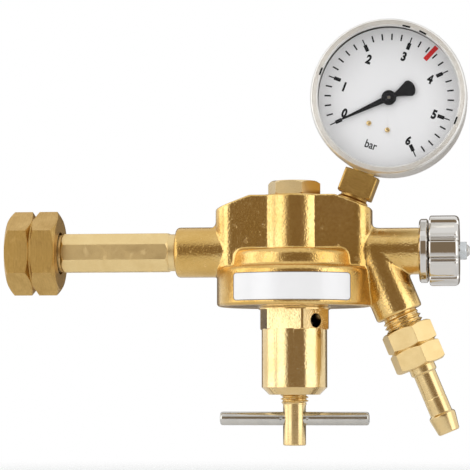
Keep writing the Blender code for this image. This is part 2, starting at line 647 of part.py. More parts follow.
def body_group():
    """The forged body: block, bowl, bosses, branch, and every way drilled in it."""
    body = place("body", prism(block_plan(), BLOCK_BOTTOM, BLOCK_TOP + MM), FORGED_BRASS, MAIN)
    upright = MAIN @ Matrix.Rotation(math.pi / 2, 4, "X")
    shaped(body, "INTERSECT", prism(block_front(), -2 * BLOCK_HALF_DEPTH, 2 * BLOCK_HALF_DEPTH), upright)
    core = [
        (0, BLOCK_BOTTOM),
        (CORE_RADIUS, BLOCK_BOTTOM),
        (CORE_RADIUS, BLOCK_TOP + CORE_PROUD - 0.6 * MM),
        (CORE_RADIUS - 0.6 * MM, BLOCK_TOP + CORE_PROUD),
        (0, BLOCK_TOP + CORE_PROUD),
    ]
    shaped(body, "UNION", turned(core, ROUND_STEPS))
    shaped(body, "UNION", turned(bowl_profile(), FINE_STEPS))
    inlet_boss = [
        (0, INLET_BOSS_START),
        (INLET_BOSS_RADIUS - 0.8 * MM, INLET_BOSS_START),
        (INLET_BOSS_RADIUS, INLET_BOSS_START + 0.8 * MM),
        (INLET_BOSS_RADIUS, MAIN_X - BOSS_ROOT),
        (0, MAIN_X - BOSS_ROOT),
    ]
    shaped(body, "UNION", turned(inlet_boss, ROUND_STEPS), ALONG_X)
    valve_boss = rod(VALVE_BOSS_RADIUS, MAIN_X + BOSS_ROOT, VALVE_BOSS_END, ROUND_STEPS)
    shaped(body, "UNION", valve_boss, ALONG_X)
    for boss, side in ((INLET_BOSS_RADIUS, -1), (VALVE_BOSS_RADIUS, 1)):
        shaped(body, "UNION", prism(web_outline(boss, side), -WEB_HALF_DEPTH, WEB_HALF_DEPTH), upright)
    branch = [
        (0, 0),
        (BRANCH_RADIUS, 0),
        (BRANCH_RADIUS, BRANCH_LENGTH - 0.5 * MM),
        (BRANCH_RADIUS - 0.5 * MM, BRANCH_LENGTH),
        (BRANCH_THREAD_RADIUS - 0.9 * MM, BRANCH_LENGTH),
        (BRANCH_THREAD_RADIUS - 0.9 * MM, BRANCH_LENGTH + 1.2 * MM),
        (BRANCH_THREAD_RADIUS, BRANCH_LENGTH + 2.0 * MM),
        (BRANCH_THREAD_RADIUS, BRANCH_THREAD_END - 0.8 * MM),
        (BRANCH_THREAD_RADIUS - 0.8 * MM, BRANCH_THREAD_END),
        (0, BRANCH_THREAD_END),
    ]
    shaped(body, "UNION", turned(branch, ROUND_STEPS), BRANCH)
    dome = arc(0, 0, BRANCH_RADIUS, -90, 0, 6)
    shaped(body, "UNION", turned(dome + [(0, 0.5 * MM)], ROUND_STEPS), BRANCH)
    shaped(body, "DIFFERENCE", turned(bowl_hollow(), FINE_STEPS))
    shaped(body, "DIFFERENCE", turned(poppet_room(), ROUND_STEPS))
    inlet_bore = [
        (0, INLET_BOSS_START - MM),
        (STEM_SPIGOT_RADIUS + FIT_GAP, INLET_BOSS_START - MM),
        (STEM_SPIGOT_RADIUS + FIT_GAP, INLET_BOSS_START + STEM_SPIGOT_LENGTH + SEAT_GAP),
        (INLET_WAY_RADIUS, INLET_BOSS_START + STEM_SPIGOT_LENGTH + SEAT_GAP),
        (INLET_WAY_RADIUS, MAIN_X - 2 * MM),
        (0, MAIN_X - 2 * MM),
    ]
    shaped(body, "DIFFERENCE", turned(inlet_bore, ROUND_STEPS), ALONG_X)
    shaped(body, "DIFFERENCE", turned(valve_bore(), ROUND_STEPS), ALONG_X)
    down = Matrix.Translation((GAUGE_AXIS_X, 0, 0))
    shaped(body, "DIFFERENCE", rod(WAY_RADIUS - 0.3 * MM, CHAMBER_TOP - 2 * MM, 0, TINY_STEPS), down)
    port_mouth = port_depth_at_slope()
    gauge_bore = [
        (0, port_mouth - 3 * MM),
        (SOCKET_THREAD_RADIUS + FIT_GAP, port_mouth - 3 * MM),
        (SOCKET_THREAD_RADIUS + FIT_GAP, port_mouth + GAUGE_PORT_DEPTH),
        (WAY_RADIUS - 0.5 * MM, port_mouth + GAUGE_PORT_DEPTH + 0.6 * MM),
        (WAY_RADIUS - 0.5 * MM, GAUGE_REACH),
        (0, GAUGE_REACH),
    ]
    shaped(body, "DIFFERENCE", turned(gauge_bore, SMALL_STEPS), SOCKET)
    outlet_bore = [
        (0, MM),
        (OUTLET_WAY_RADIUS, MM),
        (OUTLET_WAY_RADIUS, BRANCH_THREAD_END - TAIL_CONE_LENGTH),
        (TAIL_CONE_LENGTH + OUTLET_WAY_RADIUS, BRANCH_THREAD_END + SEAT_GAP),
        (TAIL_CONE_LENGTH + OUTLET_WAY_RADIUS, BRANCH_THREAD_END + MM),
        (0, BRANCH_THREAD_END + MM),
    ]
    shaped(body, "DIFFERENCE", turned(outlet_bore, SMALL_STEPS), BRANCH)


def port_depth_at_slope():
    """How far down the socket's axis from the gauge's middle the sloping face of the block lies."""
    top = Vector((MAIN_X + BLOCK_SLOPE_START, 0, BLOCK_TOP))
    return (GAUGE_CENTRE - top).dot(GAUGE_WAY)


def bowl_hollow():
    """The diaphragm chamber and the threaded skirt below it."""
    return [
        (0, CHAMBER_TOP),
        (CHAMBER_RADIUS - 1.5 * MM, CHAMBER_TOP),
        (CHAMBER_RADIUS, CHAMBER_TOP - 1.5 * MM),
        (CHAMBER_RADIUS, CLAMP_STEP),
        (SKIRT_BORE, CLAMP_STEP),
        (SKIRT_BORE, BOWL_BOTTOM - MM),
        (0, BOWL_BOTTOM - MM),
    ]


def poppet_room():
    """The stepped bore under the valve cap, and the hole for the seat below it."""
    return [
        (0, BLOCK_TOP + 2 * MM),
        (CAP_SEAL_RADIUS + FIT_GAP, BLOCK_TOP + 2 * MM),
        (CAP_SEAL_RADIUS + FIT_GAP, BLOCK_TOP + CORE_PROUD - CAP_RECESS),
        (CAP_SHANK_RADIUS + FIT_GAP, BLOCK_TOP + CORE_PROUD - CAP_RECESS),
        (CAP_SHANK_RADIUS + FIT_GAP, BLOCK_TOP - CAP_BORE_DEPTH),
        (POPPET_ROOM_RADIUS, BLOCK_TOP - CAP_BORE_DEPTH),
        (POPPET_ROOM_RADIUS, POPPET_ROOM_FLOOR),
        (SEAT_RADIUS + FIT_GAP, POPPET_ROOM_FLOOR),
        (SEAT_RADIUS + FIT_GAP, CHAMBER_TOP - MM),
        (0, CHAMBER_TOP - MM),
    ]


def valve_bore():
    """The shut-off valve's bore from its mouth down to the seat, and the way behind the seat."""
    mouth = VALVE_BOSS_END
    return [
        (0, GAUGE_AXIS_X - 1.5 * MM),
        (WAY_RADIUS, GAUGE_AXIS_X - 1.5 * MM),
        (WAY_RADIUS, VALVE_SEAT_X - 1.4 * MM),
        (WAY_RADIUS + 1.4 * MM, VALVE_SEAT_X - 1.4 * MM),
        (WAY_RADIUS + 0.5 * MM, VALVE_SEAT_X),
        (VALVE_ROOM_RADIUS, VALVE_SEAT_X),
        (VALVE_ROOM_RADIUS, mouth - COLLAR_SHANK_LENGTH - 0.6 * MM),
        (COLLAR_SHANK_RADIUS + FIT_GAP, mouth - COLLAR_SHANK_LENGTH - 0.6 * MM),
        (COLLAR_SHANK_RADIUS + FIT_GAP, mouth + MM),
        (0, mouth + MM),
    ]


def poppet_group():
    """Seat, poppet with its pad, its spring, and the cap with its seal."""
    seat_low = CHAMBER_TOP + 0.4 * MM
    seat = [
        (SEAT_BORE, seat_low),
        (SEAT_RADIUS, seat_low),
        (SEAT_RADIUS, POPPET_ROOM_FLOOR + SEAT_GAP),
        (SEAT_FLANGE_RADIUS, POPPET_ROOM_FLOOR + SEAT_GAP),
        (SEAT_FLANGE_RADIUS, POPPET_ROOM_FLOOR + SEAT_GAP + SEAT_FLANGE),
        (SEAT_BORE + 1.6 * MM, POPPET_ROOM_FLOOR + SEAT_GAP + SEAT_FLANGE + 0.8 * MM),
        (SEAT_BORE + 0.5 * MM, SEAT_TOP),
        (SEAT_BORE, SEAT_TOP),
    ]
    place("valve_seat", turned(seat, SMALL_STEPS, ring=True), TURNED_BRASS, MAIN)
    pad_low = SEAT_TOP + SEAT_GAP
    place(
        "poppet_pad",
        tube(POPPET_PAD_RADIUS, POPPET_PIN_RADIUS + FIT_GAP, pad_low, pad_low + POPPET_PAD_THICK, SMALL_STEPS),
        RUBBER,
        MAIN,
    )
    back = pad_low + POPPET_PAD_THICK + SEAT_GAP
    pin_end = pin_bottom()
    poppet = [
        (0, pin_end),
        (POPPET_PIN_RADIUS - 0.3 * MM, pin_end),
        (POPPET_PIN_RADIUS, pin_end + 0.3 * MM),
        (POPPET_PIN_RADIUS, back),
        (POPPET_PAD_RADIUS + FIT_GAP, back),
        (POPPET_PAD_RADIUS + FIT_GAP, pad_low + 0.5 * MM),
        (POPPET_RADIUS, pad_low + 0.5 * MM),
        (POPPET_RADIUS, back + POPPET_LENGTH - 1.4 * MM),
        (POPPET_STEM_RADIUS + 0.6 * MM, back + POPPET_LENGTH - 1.4 * MM),
        (POPPET_STEM_RADIUS, back + POPPET_LENGTH),
        (POPPET_STEM_RADIUS, back + POPPET_LENGTH + POPPET_STEM_LENGTH),
        (0, back + POPPET_LENGTH + POPPET_STEM_LENGTH),
    ]
    place("poppet", turned(poppet, SMALL_STEPS), TURNED_BRASS, MAIN)
    cap_low = BLOCK_TOP + CORE_PROUD - CAP_RECESS + SEAT_GAP
    hex_low = cap_low + CAP_SEAL_THICK + SEAT_GAP
    shank_low = hex_low - CAP_SHANK_LENGTH
    guide_top = shank_low + CAP_GUIDE_DEPTH
    cap_profile = [
        (CAP_FLATS / 2 - 0.2 * MM, hex_low),
        (CAP_FLATS / 2 + 0.5 * MM, hex_low + 0.3 * MM),
        (CAP_FLATS / math.sqrt(3) + 0.02 * MM, hex_low + 0.9 * MM),
        (CAP_FLATS / math.sqrt(3) + 0.02 * MM, hex_low + CAP_HEIGHT - 1.3 * MM),
        (CAP_FLATS / 2 - 0.5 * MM, hex_low + CAP_HEIGHT),
        (0, hex_low + CAP_HEIGHT),
    ]
    cap = place(
        "valve_cap",
        prism(polygon(6, CAP_FLATS, CAP_TURN - math.pi / 2), hex_low, hex_low + CAP_HEIGHT + MM),
        TURNED_BRASS,
        MAIN,
    )
    shaped(cap, "INTERSECT", turned([(0, hex_low)] + cap_profile, FINE_STEPS))
    shank = [
        (0, hex_low + 2 * MM),
        (CAP_SHANK_RADIUS, hex_low + 2 * MM),
        (CAP_SHANK_RADIUS, shank_low + 0.7 * MM),
        (CAP_SHANK_RADIUS - 0.7 * MM, shank_low),
        (0, shank_low),
    ]
    shaped(cap, "UNION", turned(shank, ROUND_STEPS))
    shaped(cap, "DIFFERENCE", rod(CAP_GUIDE_RADIUS, shank_low - MM, guide_top, SMALL_STEPS))
    place("cap_seal", tube(CAP_SEAL_RADIUS, CAP_SHANK_RADIUS + FIT_GAP, cap_low, cap_low + CAP_SEAL_THICK), FIBRE, MAIN)
    spring_low = back + POPPET_LENGTH - 1.4 * MM + SEAT_GAP
    place(
        "poppet_spring",
        coil(
            POPPET_WIRE, POPPET_COIL_RADIUS, POPPET_TURNS, spring_low, guide_top - SEAT_GAP, around=10, sides=5
        ),
        STEEL,
        MAIN,
    )


def button_top():
    """The top of the diaphragm's centre button."""
    return CLAMP_STEP - SEAT_GAP + SEAT_GAP + BUTTON_THICK


def pin_bottom():
    """The poppet's pin ends just clear of the diaphragm's button."""
    return button_top() + SEAT_GAP


def diaphragm_group():
    """The rubber diaphragm, its plate below and its button above."""
    top = CLAMP_STEP - SEAT_GAP
    low = top - DIAPHRAGM_THICK
    rim = SKIRT_BORE - SEAT_GAP
    wave = [
        (CONVOLUTION_RADIUS + CONVOLUTION_WIDTH, top),
        (CONVOLUTION_RADIUS + CONVOLUTION_WIDTH / 2, top + CONVOLUTION_HEIGHT),
        (CONVOLUTION_RADIUS - CONVOLUTION_WIDTH / 2, top + CONVOLUTION_HEIGHT),
        (CONVOLUTION_RADIUS - CONVOLUTION_WIDTH, top),
    ]
    under = [(radius, height - DIAPHRAGM_THICK) for radius, height in reversed(wave)]
    profile = [(rim, low), (rim, top)] + wave + [(DIAPHRAGM_CENTRE_BORE, top), (DIAPHRAGM_CENTRE_BORE, low)] + under
    place("diaphragm", turned(profile, ROUND_STEPS, ring=True), RUBBER, MAIN)
    plate_top = low - SEAT_GAP
    plate_low = plate_top - PLATE_THICK
    plate = [
        (0, top + SEAT_GAP),
        (RIVET_RADIUS, top + SEAT_GAP),
        (RIVET_RADIUS, plate_top),
        (PLATE_RADIUS - PLATE_RIM, plate_top),
        (PLATE_RADIUS, plate_top - 0.6 * MM),
        (PLATE_RADIUS, plate_low),
        (SPRING_SPIGOT_RADIUS, plate_low),
        (SPRING_SPIGOT_RADIUS - 0.6 * MM, plate_low - SPRING_SPIGOT_HEIGHT),
        (0, plate_low - SPRING_SPIGOT_HEIGHT),
    ]
    place("diaphragm_plate", turned(plate, ROUND_STEPS), STEEL, MAIN)
    recess = RIVET_RADIUS + FIT_GAP
    button = [
        (0, top + 2 * SEAT_GAP),
        (recess, top + 2 * SEAT_GAP),
        (recess, top + SEAT_GAP),
        (BUTTON_RADIUS, top + SEAT_GAP),
        (BUTTON_RADIUS, button_top() - 0.4 * MM),
        (BUTTON_RADIUS - 0.6 * MM, button_top()),
        (0, button_top()),
    ]
    place("diaphragm_button", turned(button, SMALL_STEPS), TURNED_BRASS, MAIN)
    return plate_low


def bonnet_group(plate_low):
    """The bonnet, the main spring with its lower seat, the adjusting screw and its bar."""
    collar_low = BONNET_HEX_TOP
    bonnet = place(
        "bonnet",
        prism(
            polygon(6, BONNET_HEX_FLATS, BONNET_HEX_TURN - math.pi / 2), BONNET_HEX_BOTTOM, BONNET_HEX_TOP + 0.5 * MM
        ),
        FORGED_BRASS,
        MAIN,
    )
    corner = BONNET_HEX_CORNERS / 2
    limit = [
        (0, BONNET_HEX_BOTTOM),
        (corner - 0.5 * MM, BONNET_HEX_BOTTOM),
        (corner, BONNET_HEX_BOTTOM + 0.4 * MM),
        (corner, BONNET_HEX_TOP + MM),
        (0, BONNET_HEX_TOP + MM),
    ]
    shaped(bonnet, "INTERSECT", turned(limit, FINE_STEPS))
    disc = SKIRT_BORE - FIT_GAP
    core = BONNET_HEX_FLATS / 2 - 0.5 * MM
    outer = [
        (0, BONNET_DISC_TOP),
        (disc, BONNET_DISC_TOP),
        (disc, BOWL_BOTTOM),
        (BONNET_COLLAR_RADIUS + 1.4 * MM, BOWL_BOTTOM),
        (BONNET_COLLAR_RADIUS, BOWL_BOTTOM - 0.7 * MM),
        (BONNET_COLLAR_RADIUS, collar_low),
        (core, collar_low),
        (core, BONNET_HEX_BOTTOM + 0.3 * MM),
        (BONNET_RADIUS, BONNET_HEX_BOTTOM + 0.3 * MM),
        (BONNET_RADIUS, BONNET_BOTTOM + BONNET_CHAMFER),
        (BONNET_RADIUS - BONNET_CHAMFER, BONNET_BOTTOM),
        (0, BONNET_BOTTOM),
    ]
    shaped(bonnet, "UNION", turned(outer, FINE_STEPS))
    pocket = BONNET_DISC_TOP - BONNET_POCKET_DEPTH
    hollow = [
        (0, BONNET_DISC_TOP + MM),
        (BONNET_POCKET_RADIUS, BONNET_DISC_TOP + MM),
        (BONNET_POCKET_RADIUS, pocket),
        (BONNET_BORE, pocket),
        (BONNET_BORE, BONNET_FLOOR),
        (SCREW_THREAD_RADIUS + RUN_GAP, BONNET_FLOOR),
        (SCREW_THREAD_RADIUS + RUN_GAP, BONNET_BOTTOM - MM),
        (0, BONNET_BOTTOM - MM),
    ]
    shaped(bonnet, "DIFFERENCE", turned(hollow, ROUND_STEPS))
    vent = MAIN @ Matrix.Translation((0, 0, VENT_Z)) @ Matrix.Rotation(VENT_TURN, 4, "Z")
    vent = vent @ Matrix.Rotation(math.pi / 2, 4, "X")
    shaped(bonnet, "DIFFERENCE", rod(VENT_RADIUS, BONNET_BORE - 2 * MM, 20 * MM, TINY_STEPS), vent)
    spring_top = plate_low - SEAT_GAP
    spring_low = SPRING_SEAT_TOP + SEAT_GAP
    place(
        "main_spring",
        coil(MAIN_WIRE, MAIN_COIL_RADIUS, MAIN_TURNS, spring_low, spring_top, around=12, sides=6),
        STEEL,
        MAIN,
    )
    seat_low = SPRING_SEAT_TOP - SPRING_SEAT_THICK
    seat = [
        (0, SPRING_SEAT_TOP + 1.6 * MM),
        (SPRING_SPIGOT_RADIUS - 0.5 * MM, SPRING_SEAT_TOP + 1.6 * MM),
        (SPRING_SPIGOT_RADIUS, SPRING_SEAT_TOP + MM),
        (SPRING_SPIGOT_RADIUS, SPRING_SEAT_TOP),
        (SPRING_SEAT_RADIUS, SPRING_SEAT_TOP),
        (SPRING_SEAT_RADIUS, seat_low),
        (3.0 * MM, seat_low),
        (0, seat_low + 1.8 * MM),
    ]
    place("spring_seat", turned(seat, ROUND_STEPS), STEEL, MAIN)
    nose = SCREW_TIP_Z + 2.0 * MM
    screw = [
        (0, nose),
        (0.8 * MM, nose),
        (2.6 * MM, SCREW_TIP_Z),
        (SCREW_THREAD_RADIUS - 1.0 * MM, SCREW_TIP_Z),
        (SCREW_THREAD_RADIUS, SCREW_TIP_Z - 0.8 * MM),
        (SCREW_THREAD_RADIUS, SCREW_THREAD_END + 0.6 * MM),
        (SCREW_SHANK_RADIUS, SCREW_THREAD_END),
        (SCREW_SHANK_RADIUS, SCREW_BOTTOM + 0.4 * MM),
        (SCREW_SHANK_RADIUS - 0.4 * MM, SCREW_BOTTOM),
        (0, SCREW_BOTTOM),
    ]
    shank = place("adjusting_screw", turned(screw, ROUND_STEPS), TURNED_BRASS, MAIN)
    across = MAIN @ Matrix.Translation((0, 0, BAR_Z)) @ Matrix.Rotation(math.pi / 2, 4, "Y")
    shaped(shank, "DIFFERENCE", rod(BAR_RADIUS + FIT_GAP, -10 * MM, 10 * MM, SMALL_STEPS), across)
    half = BAR_LENGTH / 2
    bar = [
        (0, -half),
        (BAR_RADIUS - BAR_CHAMFER, -half),
        (BAR_RADIUS - 0.25 * MM, -half + 0.3 * MM),
        (BAR_RADIUS, -half + BAR_CHAMFER),
        (BAR_RADIUS, half - BAR_CHAMFER),
        (BAR_RADIUS - 0.25 * MM, half - 0.3 * MM),
        (BAR_RADIUS - BAR_CHAMFER, half),
        (0, half),
    ]
    place("tommy_bar", turned(bar, SMALL_STEPS), STEEL, across)


def label_group():
    """The bare label plate, bent round the front of the bowl."""
    inner = BOWL_RADIUS + SEAT_GAP
    reach = math.asin(LABEL_WIDTH / 2 / inner)
    steps = 24
    angles = [-reach + 2 * reach * k / steps for k in range(steps + 1)]
    front = [((inner + LABEL_THICK) * math.sin(a), -(inner + LABEL_THICK) * math.cos(a)) for a in angles]
    rear = [(inner * math.sin(a), -inner * math.cos(a)) for a in reversed(angles)]
    low = LABEL_Z - LABEL_HEIGHT / 2
    high = LABEL_Z + LABEL_HEIGHT / 2
    frame = MAIN @ Matrix.Rotation(LABEL_TURN, 4, "Z")
    label = place("label_plate", prism(front + rear, low, high), WHITE_ENAMEL, frame)
    window = frame @ Matrix.Translation((0, 0, LABEL_Z)) @ Matrix.Rotation(math.pi / 2, 4, "X")
    cut = rounded_box(LABEL_WIDTH - 0.01 * MM, LABEL_HEIGHT - 0.01 * MM, LABEL_CORNER)
    shaped(label, "INTERSECT", prism(cut, 0, 2 * inner), window)


def gauge_group():
    """The pressure gauge: socket, case, bezel, window, dial, pointer and the works behind the dial."""
    outer = CASE_RADIUS
    inner = CASE_RADIUS - CASE_WALL
    case_profile = [
        (0, CASE_BACK),
        (outer - 3 * MM, CASE_BACK),
        (outer - 0.9 * MM, CASE_BACK + 0.9 * MM),
        (outer, CASE_BACK + 3 * MM),
        (outer, CASE_FRONT),
        (inner, CASE_FRONT),
        (inner, CASE_BACK + 3 * MM),
        (inner - 1.6 * MM, CASE_BACK + CASE_WALL + 0.4 * MM),
        (inner - 3.2 * MM, CASE_BACK + CASE_WALL),
        (0, CASE_BACK + CASE_WALL),
    ]
    case = place("gauge_case", turned(case_profile, FINE_STEPS), CASE_STEEL, GAUGE)
    shaped(case, "DIFFERENCE", rod(SOCKET_NECK_RADIUS + FIT_GAP, CASE_RADIUS / 2, SOCKET_BOTTOM, SMALL_STEPS), SOCKET)
    window_back = CASE_FRONT + SEAT_GAP
    window_front = window_back + WINDOW_THICK
    clamp = outer + FIT_GAP
    bezel = [
        (clamp, CASE_FRONT - BEZEL_SKIRT),
        (BEZEL_RADIUS, CASE_FRONT - BEZEL_SKIRT),
        (BEZEL_RADIUS, window_front),
        (BEZEL_RADIUS - 0.5 * MM, BEZEL_FRONT - 0.5 * MM),
        (BEZEL_RADIUS - 1.2 * MM, BEZEL_FRONT),
        (BEZEL_LIP + 0.7 * MM, BEZEL_FRONT),
        (BEZEL_LIP, window_front + 0.9 * MM),
        (BEZEL_LIP, window_front + SEAT_GAP),
        (clamp, window_front + SEAT_GAP),
    ]
    place("gauge_bezel", turned(bezel, FINE_STEPS, ring=True), CASE_STEEL, GAUGE)
    place("gauge_window", rod(outer - 0.3 * MM, window_back, window_front, FINE_STEPS), CLEAR, GAUGE)
    dial_back = DIAL_FRONT - DIAL_THICK
    dial = place("gauge_dial", tube(DIAL_RADIUS, ARBOR_BORE + 0.5 * MM, dial_back, DIAL_FRONT, FINE_STEPS), WHITE_ENAMEL, GAUGE)
    screws = [(side * DIAL_SCREW_SPREAD, -DIAL_SCREW_DOWN) for side in (-1, 1)]
    head = [
        (0, DIAL_FRONT + SEAT_GAP + 0.5 * MM),
        (DIAL_SCREW_RADIUS * 0.6, DIAL_FRONT + SEAT_GAP + 0.5 * MM),
        (DIAL_SCREW_RADIUS, DIAL_FRONT + SEAT_GAP),
        (DIAL_SCREW_RADIUS * 0.55, DIAL_FRONT + SEAT_GAP),
        (DIAL_SCREW_RADIUS * 0.55, dial_back - 0.8 * MM),
        (0, dial_back - 0.8 * MM),
    ]
    for side, (x, y) in zip(("left", "right"), screws):
        frame = GAUGE @ Matrix.Translation((x, y, 0))
        shaped(dial, "DIFFERENCE", rod(DIAL_SCREW_RADIUS * 0.55 + FIT_GAP, dial_back - MM, DIAL_FRONT + MM, TINY_STEPS), frame)
        place(f"dial_screw_{side}", turned(head[::-1], TINY_STEPS), TURNED_BRASS, frame)
    movement_front = dial_back - SEAT_GAP
    works(movement_front, screws)
    pointer(movement_front)
    socket()


def works(front, screws):
    """The Bourdon tube and the movement's two plates on their pillars."""
    plates = rounded_box(MOVEMENT_WIDTH, MOVEMENT_HEIGHT, 2 * MM, 3)
    shift = GAUGE @ Matrix.Translation((0, -MOVEMENT_DOWN, 0))
    back = front - MOVEMENT_DEPTH
    movement = place("gauge_movement", prism(plates, front - MOVEMENT_PLATE, front), TURNED_BRASS, shift)
    shaped(movement, "UNION", prism(plates, back, back + MOVEMENT_PLATE), shift)
    for x in (-1, 1):
        for y in (-1, 1):
            corner = (x * (MOVEMENT_WIDTH / 2 - 2 * MM), y * (MOVEMENT_HEIGHT / 2 - 2 * MM), 0)
            pillar = rod(1.1 * MM, back + 0.2 * MM, front - 0.2 * MM, 12)
            shaped(movement, "UNION", pillar, shift @ Matrix.Translation(corner))
    hole = rod(ARBOR_BORE, back - MM, front + MM, TINY_STEPS)
    shaped(movement, "DIFFERENCE", hole, GAUGE)
    depth = 0.8 * MM + 0.3 * MM
    for x, y in screws:
        frame = GAUGE @ Matrix.Translation((x, y, 0))
        bore = rod(DIAL_SCREW_RADIUS * 0.55 + FIT_GAP, front - depth - MM, front + MM, TINY_STEPS)
        shaped(movement, "DIFFERENCE", bore, frame)
    bm = bmesh.new()
    section = [(TUBE_HALF_THICK * math.cos(a), TUBE_HALF_WIDTH * math.sin(a)) for a in ring_angles(8)]
    verts = [bm.verts.new((0, -TUBE_ARC_RADIUS - x, -1.0 * MM + y)) for x, y in section]
    face = bm.faces.new(verts)
    bmesh.ops.spin(
        bm, geom=[face], cent=(0, 0, 0), axis=(0, 0, 1), angle=TUBE_SWEEP, steps=24, use_duplicate=False
    )
    place("bourdon_tube", closed_mesh("bourdon_tube", bm), TURNED_BRASS, GAUGE @ Matrix.Rotation(TUBE_START, 4, "Z"))


def ring_angles(count):
    """Equal angles round a full turn."""
    return [math.tau * k / count for k in range(count)]


def pointer(movement_front):
    """The pointer at zero, and the arbor that carries it."""
    turn = GAUGE @ Matrix.Rotation(ZERO_ANGLE, 4, "Z")
    low = DIAL_FRONT + POINTER_LIFT
    high = low + POINTER_THICK
    needle = [
        (-POINTER_TAIL, -1.3 * MM),
        (-POINTER_TAIL + 1.0 * MM, -2.6 * MM),
        (-POINTER_TAIL + 2.6 * MM, -2.9 * MM),
        (-POINTER_HUB_RADIUS * 0.8, -0.9 * MM),
        (POINTER_HUB_RADIUS * 0.8, -1.1 * MM),
        (POINTER_LENGTH, -0.18 * MM),
        (POINTER_LENGTH, 0.18 * MM),
        (POINTER_HUB_RADIUS * 0.8, 1.1 * MM),
        (-POINTER_HUB_RADIUS * 0.8, 0.9 * MM),
        (-POINTER_TAIL + 2.6 * MM, 2.9 * MM),
        (-POINTER_TAIL + 1.0 * MM, 2.6 * MM),
        (-POINTER_TAIL, 1.3 * MM),
    ]
    needle_piece = place("gauge_pointer", prism(needle, low, high), BLACK_ENAMEL, turn)
    hub = [
        (0, low - 0.1 * MM),
        (POINTER_HUB_RADIUS, low - 0.1 * MM),
        (POINTER_HUB_RADIUS, high + 0.3 * MM),
        (POINTER_HUB_RADIUS - 0.6 * MM, high + 0.7 * MM),
        (0, high + 0.7 * MM),
    ]
    shaped(needle_piece, "UNION", turned(hub, SMALL_STEPS))
    shaped(needle_piece, "DIFFERENCE", rod(ARBOR_RADIUS + 0.03 * MM, low - MM, high + 2 * MM, TINY_STEPS))
    arbor_low = movement_front - 9.0 * MM
    arbor = [
        (0, arbor_low),
        (ARBOR_RADIUS, arbor_low),
        (ARBOR_RADIUS, high + 0.5 * MM),
        (ARBOR_RADIUS * 0.6, high + 0.8 * MM),
        (0, high + 0.8 * MM),
    ]
    arbor_piece = place("pointer_arbor", turned(arbor, TINY_STEPS), STEEL, GAUGE)
    pinion_low = movement_front - 5.2 * MM
    teeth = []
    for k in range(12):
        a = math.tau * k / 12
        for offset, radius in ((-0.32, 1.35), (-0.14, 2.1), (0.14, 2.1), (0.32, 1.35)):
            angle = a + offset * math.tau / 12
            teeth.append((radius * MM * math.cos(angle), radius * MM * math.sin(angle)))
    shaped(arbor_piece, "UNION", prism(teeth, pinion_low, pinion_low + 2.4 * MM))


def socket():
    """The gauge's socket: the threaded end, the square for the spanner and the head inside the case."""
    mouth = port_depth_at_slope()
    end = mouth + GAUGE_PORT_DEPTH - SEAT_GAP
    square = rounded_box(SOCKET_SQUARE, SOCKET_SQUARE, SOCKET_CORNER, 2)
    piece = place("gauge_socket", prism(square, SOCKET_TOP, SOCKET_BOTTOM), SATIN_BRASS, SOCKET)
    stalk = [
        (0, SOCKET_HEAD_TOP + MM),
        (SOCKET_NECK_RADIUS, SOCKET_HEAD_TOP + MM),
        (SOCKET_NECK_RADIUS, SOCKET_TOP + 0.5 * MM),
        (SOCKET_THREAD_RADIUS - 0.9 * MM, SOCKET_TOP + 0.5 * MM),
        (SOCKET_THREAD_RADIUS - 0.9 * MM, SOCKET_BOTTOM + 1.0 * MM),
        (SOCKET_THREAD_RADIUS, SOCKET_BOTTOM + 1.8 * MM),
        (SOCKET_THREAD_RADIUS, end - 0.8 * MM),
        (SOCKET_THREAD_RADIUS - 0.8 * MM, end),
        (0, end),
    ]
    shaped(piece, "UNION", turned(stalk, SMALL_STEPS))
    head = rounded_box(SOCKET_HEAD_WIDTH, SOCKET_HEAD_THICK, SOCKET_CORNER, 2)
    shaped(piece, "UNION", prism(head, SOCKET_HEAD_TOP, SOCKET_HEAD_TOP + SOCKET_HEAD_LENGTH))
    shaped(piece, "DIFFERENCE", rod(1.5 * MM, SOCKET_HEAD_TOP + 4 * MM, end + MM, 12))


